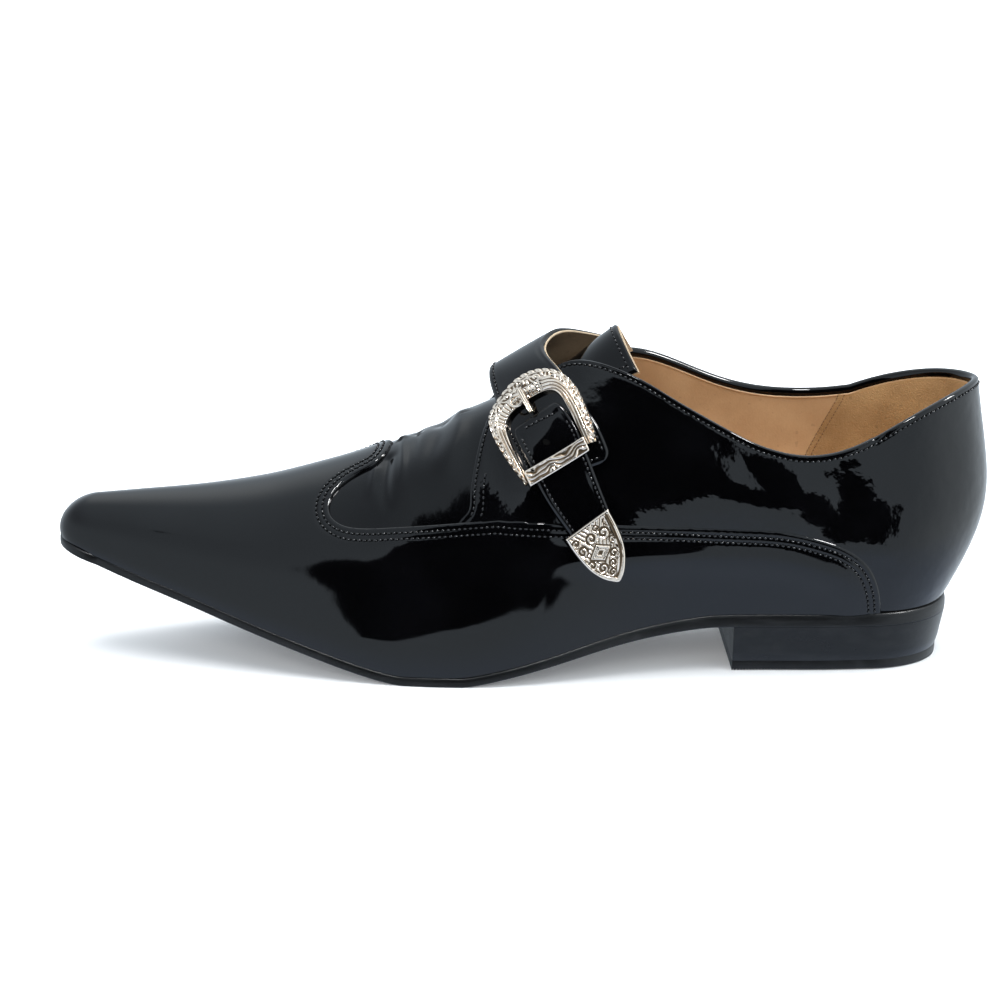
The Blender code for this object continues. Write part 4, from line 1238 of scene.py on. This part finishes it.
def make_buckle(run):
    """Arched frame: rope edge, scrolled middle, and flutes on the slope inside."""
    table = np.array(ARCH)
    knots = running((table[:, :2] + table[:, 2:]) / 2)
    rows = spline(np.c_[knots, table])(np.linspace(0, knots[-1], 420))
    outer, inner = rows[:, :2], rows[:, 2:]
    run_length = running((outer + inner) / 2)
    length, width = np.meshgrid(run_length, np.linspace(0, 1, 50), indexing="ij")
    from_top = length - run_length[-1] / 2
    fluted = ease((length - knots[3]) / 5) * ease((knots[9] - length) / 4)
    breadth = np.linalg.norm(outer - inner, axis=1)[:, None]
    across = inner[:, None, 0] + width * (outer - inner)[:, None, 0]
    up = inner[:, None, 1] + width * (outer - inner)[:, None, 1]

    brow = SLOPE_END - FLUTES_LESS * fluted
    slope = ease(width / 0.05) * ease((brow - width) / 0.05)
    lines = wave_of(width * breadth / LINE_PITCH + 0.3 * np.sin(length / 5))
    relief = slope * (fluted * wave_of(from_top / FLUTE_PITCH) + (1 - fluted) * lines) ** 0.8
    rope = ease((width - ROPE_START) / 0.04) * ease((1.01 - width) / 0.05)
    relief += rope * wave_of(from_top / ROPE_PITCH + 2.6 * (width - ROPE_MIDDLE)) ** 0.7

    band = ease((width - brow) / 0.04) * ease((SCROLL_END - width) / 0.04)
    cell = np.round(from_top / SCROLL_PITCH)
    phase = (from_top / SCROLL_PITCH - cell) * SCROLL_PITCH
    hand = np.where(cell.astype(int) % 2 == 0, 1, -1)
    y = (width - SCROLL_MIDDLE) * breadth
    scroll = curl(phase, y - 0.25 * hand, 1.7, 2.3)
    vine = ridge(y - 0.9 * np.sin(np.pi * from_top / SCROLL_PITCH), 0.3)
    leaf = ridge(np.abs(phase) - 2.3, 0.4) * ridge(y + 0.8 * hand, 0.7)
    relief += band * np.clip(np.maximum(scroll, np.maximum(0.8 * vine, leaf)), 0, 1) ** 0.8

    relief = np.clip(relief, 0, 1)
    worked = slope + rope + band
    form = BUCKLE_HEIGHT * np.interp(width, *zip(*ARCH_CROWN))
    height = STRAP_THICKNESS / 2 + GAP + form - ENGRAVED * (1 - relief) * worked.clip(0, 1)
    spot = buckle_spot(across, up)
    top, bottom = run.at(*spot, height), run.at(*spot, STRAP_THICKNESS / 2 + 0.15)
    add_metal("buckle_arch", top, bottom, np.where(worked > 0.3, relief, 0.85), "buckle_frame")


# Prong: up from the keeper, height over the strap, half-width
PRONG = [
    (25.9, 2.2, 0.5), (25.3, 3.1, 0.8), (24.2, 3.4, 0.95), (22.6, 3.3, 0.95), (20.0, 3.0, 0.9),
    (17.6, 2.6, 0.85), (16.8, 2.5, 0.65),
]
PRONG_RIBS, PRONG_RIB_DEPTH = 1.5, 0.25
# Cross-bar under it: reach to each side, up from the keeper, sag, height; then its rings
BAR_REACH, BAR_UP, BAR_SAG, BAR_HEIGHT = 4.6, 24.6, 0.042, 2.0
BAR_RADIUS, BAR_RING_DEPTH, BAR_RING_PITCH = 0.85, 0.12, 1.1
COIL_ACROSS, COIL_UP, COIL_RADIUS, COIL_WIRE, COIL_HEIGHT = -2.5, 23.2, 2.1, 0.5, 2.9


def make_prong(run):
    """Short ridged prong over a curled cross-bar."""
    row = spline(np.c_[np.arange(len(PRONG)), PRONG])(np.linspace(0, len(PRONG) - 1, 36))
    spots = np.linspace(-1, 1, 25)
    up, base, half = (row[:, k : k + 1] * np.ones_like(spots) for k in range(3))
    ribs = wave_of(spots * PRONG_RIBS)
    crown = 0.55 * np.sqrt(np.maximum(1 - spots**2, 0)) + 0.2
    height = base + PRONG_THICKNESS * crown - PRONG_RIB_DEPTH * (1 - ribs)
    spot = buckle_spot(spots * half, up)
    offset = STRAP_THICKNESS / 2 + GAP
    top, bottom = run.at(*spot, offset + height), run.at(*spot, offset + base - 0.2)
    add_metal("prong", top, bottom, 0.02 + 0.98 * ribs * np.ones_like(height), "buckle_prong")

    turn = circle(12)
    rings = []
    for across in np.linspace(-BAR_REACH, BAR_REACH, 40):
        radius = BAR_RADIUS + BAR_RING_DEPTH * np.cos(2 * np.pi * across / BAR_RING_PITCH)
        spot = buckle_spot(across, BAR_UP - BAR_SAG * across**2 + radius * np.cos(turn))
        rings.append(run.at(*spot, offset + BAR_HEIGHT + radius * np.sin(turn)))
    # Painted shade on the lower side of the bar, bright on its top
    unshaded = np.tile(0.35 + 0.6 * (np.sin(turn) > 0.2), len(rings))
    add_rings("prong_bar", rings, NICKEL, "nickel", unshaded)

    rings = []
    reach = COIL_RADIUS + COIL_WIRE * np.cos(turn)
    for angle in circle(48):
        spot = buckle_spot(COIL_ACROSS + reach * np.cos(angle), COIL_UP + reach * np.sin(angle))
        rings.append(run.at(*spot, offset + COIL_HEIGHT + COIL_WIRE * np.sin(turn)))
    # Painted shade on the underside of the coil
    unshaded = np.tile(0.3 + 0.7 * (np.sin(turn) > -0.2), len(rings))
    add_rings("prong_coil", rings, NICKEL, "nickel", unshaded, closed=True)


# Engraved lines of the keeper: how many, and the swirls that push them aside: across, up, push
KEEPER_LINES = 3.4
KEEPER_SWIRLS = [(-0.72, 0.6, 0.22), (-0.2, 0.36, -0.24), (0.3, 0.62, 0.2), (0.72, 0.42, -0.2)]
SWIRL_ACROSS, SWIRL_UP = 0.13, 0.2
# Its rims, as shares, and how its long and short edges are rounded: radius, drop
KEEPER_RIM, KEEPER_END_RIM = 0.13, 0.955
KEEPER_EDGE, KEEPER_END = (0.5, 0.35), (0.6, 0.4)


def make_keeper(run):
    """Keeper: raised rims and flowing engraved lines."""
    u, v = np.meshgrid(np.linspace(-1, 1, 150), np.linspace(0, 1, 44), indexing="ij")
    rim = np.maximum(ease((KEEPER_RIM - v) / 0.05), ease((v - (1 - KEEPER_RIM)) / 0.05))
    rim = np.maximum(rim, ease((np.abs(u) - KEEPER_END_RIM) / 0.015))
    flow = v + 0.16 * np.sin(2.4 * u + 0.8) + 0.07 * np.sin(6.3 * u) + 0.03 * np.sin(14 * u + 1)
    for centre, level, push in KEEPER_SWIRLS:
        flow = flow + push * np.exp(-(((u - centre) / SWIRL_ACROSS) ** 2) - ((v - level) / SWIRL_UP) ** 2)
    relief = np.maximum(rim, 0.9 * wave_of(KEEPER_LINES * flow) ** 1.5)
    under = BILLET_STAND + BILLET_THICKNESS + GAP
    rounded = edge_drop(np.minimum(v, 1 - v) * KEEPER_BREADTH, *KEEPER_EDGE)
    rounded = rounded + edge_drop((1 - np.abs(u)) * KEEPER_REACH, *KEEPER_END)
    height = under + KEEPER_PLATE - ENGRAVED * (1 - relief) * (1 - rim) - rounded
    spot = buckle_spot(KEEPER_ACROSS + u * KEEPER_REACH, KEEPER_FOOT + v * KEEPER_BREADTH)
    bottom = run.at(*spot, np.where(np.abs(u) > 0.93, STRAP_THICKNESS / 2 + 0.2, under))
    add_metal("keeper_loop", run.at(*spot, height), bottom, relief, "keeper")


# Tip: rims along its sides and mouth, how much they widen at the nose, and the line inside the rear rim
LEFT_RIM, MOUTH_RIM, RIGHT_RIM, LEFT_NOSE, RIGHT_NOSE = 1.05, 0.85, 1.1, 0.6, 0.5
INNER_RIM_START, INNER_RIM_END = 1.75, 2.6
NOSE_START, NOSE_LENGTH, TIP_MOUTH_END = 38, 6, 31
# Its diamond: along, across, half-length, half-width; steps from the middle out
DIAMOND_ALONG, DIAMOND_ACROSS, DIAMOND_LENGTH, DIAMOND_WIDTH = 34.5, 2.45, 2.95, 4.0
DIAMOND_STEPS = [(0.26, 0), (0.36, 1), (0.5, 1), (0.57, 0), (0.64, 1), (0.86, 1), (0.93, 0)]
# Its scrolls: along and across from the diamond, size, hand
TIP_SCROLLS = [
    (-4.8, 3.9, 2.1, 1), (-5.2, -0.4, 2.0, -1), (-3.2, -4.8, 1.9, 1), (-1.6, 5.6, 1.5, -1),
    (-7.6, 6.6, 1.4, -1), (1.9, -4.2, 1.7, -1), (2.4, 3.7, 1.8, 1), (4.6, -1.6, 1.8, 1),
    (5.0, 2.0, 1.5, -1), (-6.4, -5.4, 1.5, -1), (7.4, 0.4, 1.4, 1), (-7.2, 2.2, 1.3, 1),
]
TIP_ENGRAVED, TIP_EDGE = 0.5, (0.5, 0.55)


def make_tip(run):
    """Pointed tip: smooth raised rim round a diamond among scrolls."""
    table = np.array(TIP, float)
    edges = spline(np.c_[np.arange(len(table)), table])
    steps = (len(table) - 1) * np.linspace(0, 1, 120)
    step, share = np.meshgrid(steps, np.linspace(0, 1, 80), indexing="ij")
    front_along, front, rear_along, rear = np.moveaxis(edges(step), -1, 0)
    along = front_along + share * (rear_along - front_along)
    along = along + 0.6 * (1 - (2 * share - 1) ** 2) * ease((step - 4.2) / 0.8)
    across = front + share * (rear - front)
    shape = np.stack([along, across], axis=-1)
    flat = np.c_[shape.reshape(-1, 2), np.zeros(along.size)]
    mouth, left, right = (
        distance_to(flat, np.c_[line, np.zeros(len(line))]).reshape(along.shape)
        for line in (shape[0], np.r_[shape[:, 0], shape[-1, :40]], np.r_[shape[:, -1], shape[-1, :39:-1]])
    )
    edge = np.minimum(mouth, np.minimum(left, right))
    nose = ease((along - NOSE_START) / NOSE_LENGTH)
    rim = np.maximum(ease((LEFT_RIM + LEFT_NOSE * nose - left) / 0.25), ease((MOUTH_RIM - mouth) / 0.25))
    rim = np.maximum(rim, ease((RIGHT_RIM + RIGHT_NOSE * nose - right) / 0.25))
    inner_rim = ease((right - INNER_RIM_START) / 0.2) * ease((INNER_RIM_END - right) / 0.2) * (1 - nose)

    x = along - DIAMOND_ALONG + 0.2 * (across + DIAMOND_ACROSS)
    y = across + DIAMOND_ACROSS - 0.08 * (along - DIAMOND_ALONG)
    diamond = np.abs(x) / DIAMOND_LENGTH + np.abs(y) / DIAMOND_WIDTH
    field = wave_of((0.8 * np.abs(y) + 0.5 * x) / 1.15)
    for cx, cy, size, hand in TIP_SCROLLS:
        near = np.hypot(x - cx, y - cy) < size
        field = np.where(near, curl(x - cx, y - cy, 1.8, 1.3 * size, hand) ** 0.9, field)
    lozenge = np.interp(diamond, *zip(*DIAMOND_STEPS))
    field = np.where(diamond < 1.0, lozenge, field * ease((diamond - 1.08) / 0.14))
    relief = np.clip(np.maximum(np.maximum(rim, inner_rim), field * (right > INNER_RIM_END)), 0, 1)
    base = BILLET_THICKNESS + GAP + TIP_THICKNESS
    height = base + 0.1 - TIP_ENGRAVED * (1 - relief) * (1 - rim) - edge_drop(edge, *TIP_EDGE)
    foot = np.where(along < TIP_MOUTH_END, BILLET_THICKNESS + 0.1, -0.1)
    top, bottom = run.at(along, across, height), run.at(along, across, foot)
    add_metal("metal_tip", top, bottom, relief, "strap_tip", 0.25)


# Tongue: depth of the black leather, where its lining starts, how far that peeps out, and its stitch rows
TONGUE_LEATHER, TONGUE_LINING = 1.0, 0.9
TONGUE_EDGE, TONGUE_END, TONGUE_PITCH = (0.7, 0.5), 179, 2.0
PEEP_BACK, PEEP_SIDE, PEEP_UP, PEEP_FROM, PEEP_OVER = 0.25, 0.1, 0.15, 160, 20
TONGUE_ROW, TONGUE_ROW_START = 180.4, 30


def make_tongue():
    """Tongue with a sewn edge and a tan back."""
    shape = spline(TONGUE)
    tip = TONGUE[-1][0]
    lengths = np.r_[np.linspace(TONGUE[0][0], TONGUE_END, 60), np.linspace(TONGUE_END + 0.4, tip, 12)]
    spots = np.r_[-1, -0.992, -0.975, np.linspace(-0.95, 0.95, 60), 0.975, 0.992, 1]
    x, across = np.meshgrid(lengths, spots, indexing="ij")
    crown, half, drop, back = np.moveaxis(shape(x), -1, 0)
    height = crown - drop * np.abs(across) ** TONGUE_ARCH
    surface = np.stack([x + back * across**2, across * half, height], axis=-1)
    normal = unit(np.cross(np.gradient(surface, axis=0), np.gradient(surface, axis=1)))
    edge = np.minimum((1 - np.abs(across)) * half, (tip - x) * 1.25)
    top = surface - edge_drop(edge, *TONGUE_EDGE)[..., None] * normal
    leather = slab(top, surface - TONGUE_LEATHER * normal)
    add_piece("tongue_leather", *leather, PATENT_PLUG, "patent_leather", ["tongue"], crease=60)
    out = ease((x - PEEP_FROM) / PEEP_OVER)
    spread = np.stack([PEEP_BACK * out, PEEP_SIDE * across, PEEP_UP * out], axis=-1)
    lower = surface - TONGUE_THICKNESS * normal
    lining = slab(surface + spread - TONGUE_LINING * normal, lower + spread)
    add_piece("tongue_lining", *lining, RAW_EDGE, "tan_lining", crease=60)
    row = np.abs(lengths - TONGUE_ROW).argmin()
    sew(surface[row, 3:-3], normal[row, 3:-3], pitch=TONGUE_PITCH)
    for column in (5, -6):
        rows = slice(TONGUE_ROW_START, row)
        sew(surface[rows, column], normal[rows, column], pitch=TONGUE_PITCH)


last = make_last(1.0, 92)
make_wings(last)
make_plug(last)
make_quarter(last, OUTER, "outer_quarter")
make_quarter(last, INNER, "inner_quarter")
make_collar()
make_lining()
make_sole()
strap_run = StrapRun()
make_strap(strap_run)
make_billet(strap_run)
make_buckle(strap_run)
make_prong(strap_run)
make_keeper(strap_run)
make_tip(strap_run)
make_tongue()
make_stitching()


# Floor, light and camera
def floor_finish():
    """White paper with a painted glow that grows away from the shoe."""
    made = new_finish("white_floor")
    grain = made.noise(30, 3)
    place = made.node("TexCoord", output="Object")
    away = made.node("VectorMath", {"operation": "LENGTH"}, {0: place}, "Value")
    made.set(Base_Color=made.mix(grain, (0.88, 0.88, 0.88), (0.92, 0.92, 0.92)))
    made.set(Roughness=0.75 + 0.1 * grain, Specular_IOR_Level=0.0)
    # Painted glow: emission weak near the shoe, full further out
    made.set(Emission_Color=made.mix(away.above(0.15, 0.75), (0.12, 0.12, 0.12), (1.0, 1.0, 1.0)))
    made.set(Emission_Strength=1.0)
    return made.owner


FLOOR_REACH = 16
corners = [(x * FLOOR_REACH, y * FLOOR_REACH, 0) for x, y in ((-1, -1), (1, -1), (1, 1), (-1, 1))]
mesh = bpy.data.meshes.new("floor")
mesh.from_pydata(corners, [], [(0, 1, 2, 3)])
mesh.materials.append(floor_finish())
floor = bpy.data.objects.new("floor", mesh)
bpy.context.scene.collection.objects.link(floor)
floor.visible_glossy = False

# Light tent, painted by direction: turn and lift in degrees from the camera's side
DEGREES = 57.3
TENT_FRONT, TENT_REAR, TENT_LOW = (0.82, 0.93, 1.03), (1.26, 1.39, 1.49), (0.85, 1.0, 1.24)
TENT_BEHIND, TENT_BESIDE, TENT_DARK = (1.45, 1.56, 1.64), (0.50, 0.56, 0.63), (0.002, 0.002, 0.0025)
world = bpy.data.worlds.new("light_tent")
bpy.context.scene.world = world
tent = Finish(world, "Background")
axes = [tent.node("SeparateXYZ", None, {0: tent.node("TexCoord", output="Generated")}, k) for k in range(3)]
aside, ahead, rise = axes
turn = aside.math("ARCTAN2", aside, 0 - ahead) * DEGREES
lift = rise.math("ARCSINE", rise) * DEGREES
wave = tent.noise(5, 3) - 0.5
# The dark opening in front, with its edges
left_edge = -29.5 - 4.2 * lift.above(5, 30) - 5 * lift.above(36.5, 47)
right_edge = 30.5 - 15 * lift.above(-2, 4) + 9 * wave * lift.above(-8, -3) - 1.8 * (0 - lift).above(17, 21)
low_edge = -14.3 - 7.5 * turn.above(0, 20) - 2.6 * turn.above(22, 25.5) - 5 * (0 - turn).above(8, 26)
low_blur = 1 + 1.6 * turn.above(18, 23)
dark = (turn - left_edge).above(0, 0.5) * (right_edge - turn).above(0, 1.5)
dark = dark * ((lift - low_edge) / low_blur).above(0, 1) * (50 - lift).above(0, 5)
# The rest: shade low down behind the shoe, and brighter and dimmer cloths
shade = ahead.above(0.6, 0.95) * (0 - rise).above(0.02, 0.25) * (0 - aside).above(-0.05, 0.2)
behind = ahead.above(0.1, 0.5) * rise.above(0.45, 0.85) * (0.5 + aside).above(0, 0.2)
beside = (0 - aside).above(0.25, 0.75) * rise.above(0.2, 0.75)
rear_side = turn.above(26, 76) * (1 - turn.above(110, 170))
glow = tent.mix(rear_side, TENT_FRONT, TENT_REAR)
glow = tent.mix((0 - lift).above(20, 42), glow, TENT_LOW)
glow = tent.mix(behind, glow, TENT_BEHIND)
glow = tent.mix(beside, glow, TENT_BESIDE)
glow = tent.mix(dark.math("MAXIMUM", dark, shade), glow, TENT_DARK)
tent.set(Color=glow, Strength=1.0)


def add_light(name, place, aim, size, power):
    data = bpy.data.lights.new(name, "AREA")
    data.shape, data.size, data.size_y, data.energy = "RECTANGLE", *size, power
    lamp = bpy.data.objects.new(name, data)
    bpy.context.scene.collection.objects.link(lamp)
    lamp.location = place
    direction = np.array(place, float) - np.array(aim, float)
    flat = np.hypot(direction[0], direction[1])
    lamp.rotation_euler = (np.arctan2(flat, direction[2]), 0, np.arctan2(direction[0], -direction[1]))
    return lamp


for name, place, size, power in (
    ("top_softbox", (0.1, -0.1, 1.5), (1.6, 1.2), 26),
    ("front_softbox", (-0.3, -1.6, 0.9), (1.2, 0.8), 12),
):
    lamp = add_light(name, place, (0, 0, 0), size, power)
    lamp.visible_glossy = False
for name, place, size, power in (
    ("side_glint", (0.7, -0.12, 0.85), (0.18, 0.18), 9),
    ("top_glint", (0.05, -0.42, 1.2), (0.16, 0.16), 8),
):
    lamp = add_light(name, place, (0, 0, 0.05), size, power)
    lamp.visible_diffuse = False

scene = bpy.context.scene
scene.view_settings.view_transform = "Standard"
camera = bpy.data.objects.new("camera", bpy.data.cameras.new("camera"))
scene.collection.objects.link(camera)
CAMERA_RISE, CAMERA_AWAY, CAMERA_AIM = np.radians(15.0), 0.7, (144.8, 0.0, 50.0)
target = (np.array(CAMERA_AIM) - MID) * MM
camera.location = target + CAMERA_AWAY * np.array([0, -np.cos(CAMERA_RISE), np.sin(CAMERA_RISE)])
camera.rotation_euler = (np.pi / 2 - CAMERA_RISE, 0, 0)
camera.data.sensor_width = 36.0
camera.data.lens = 76.86
scene.camera = camera
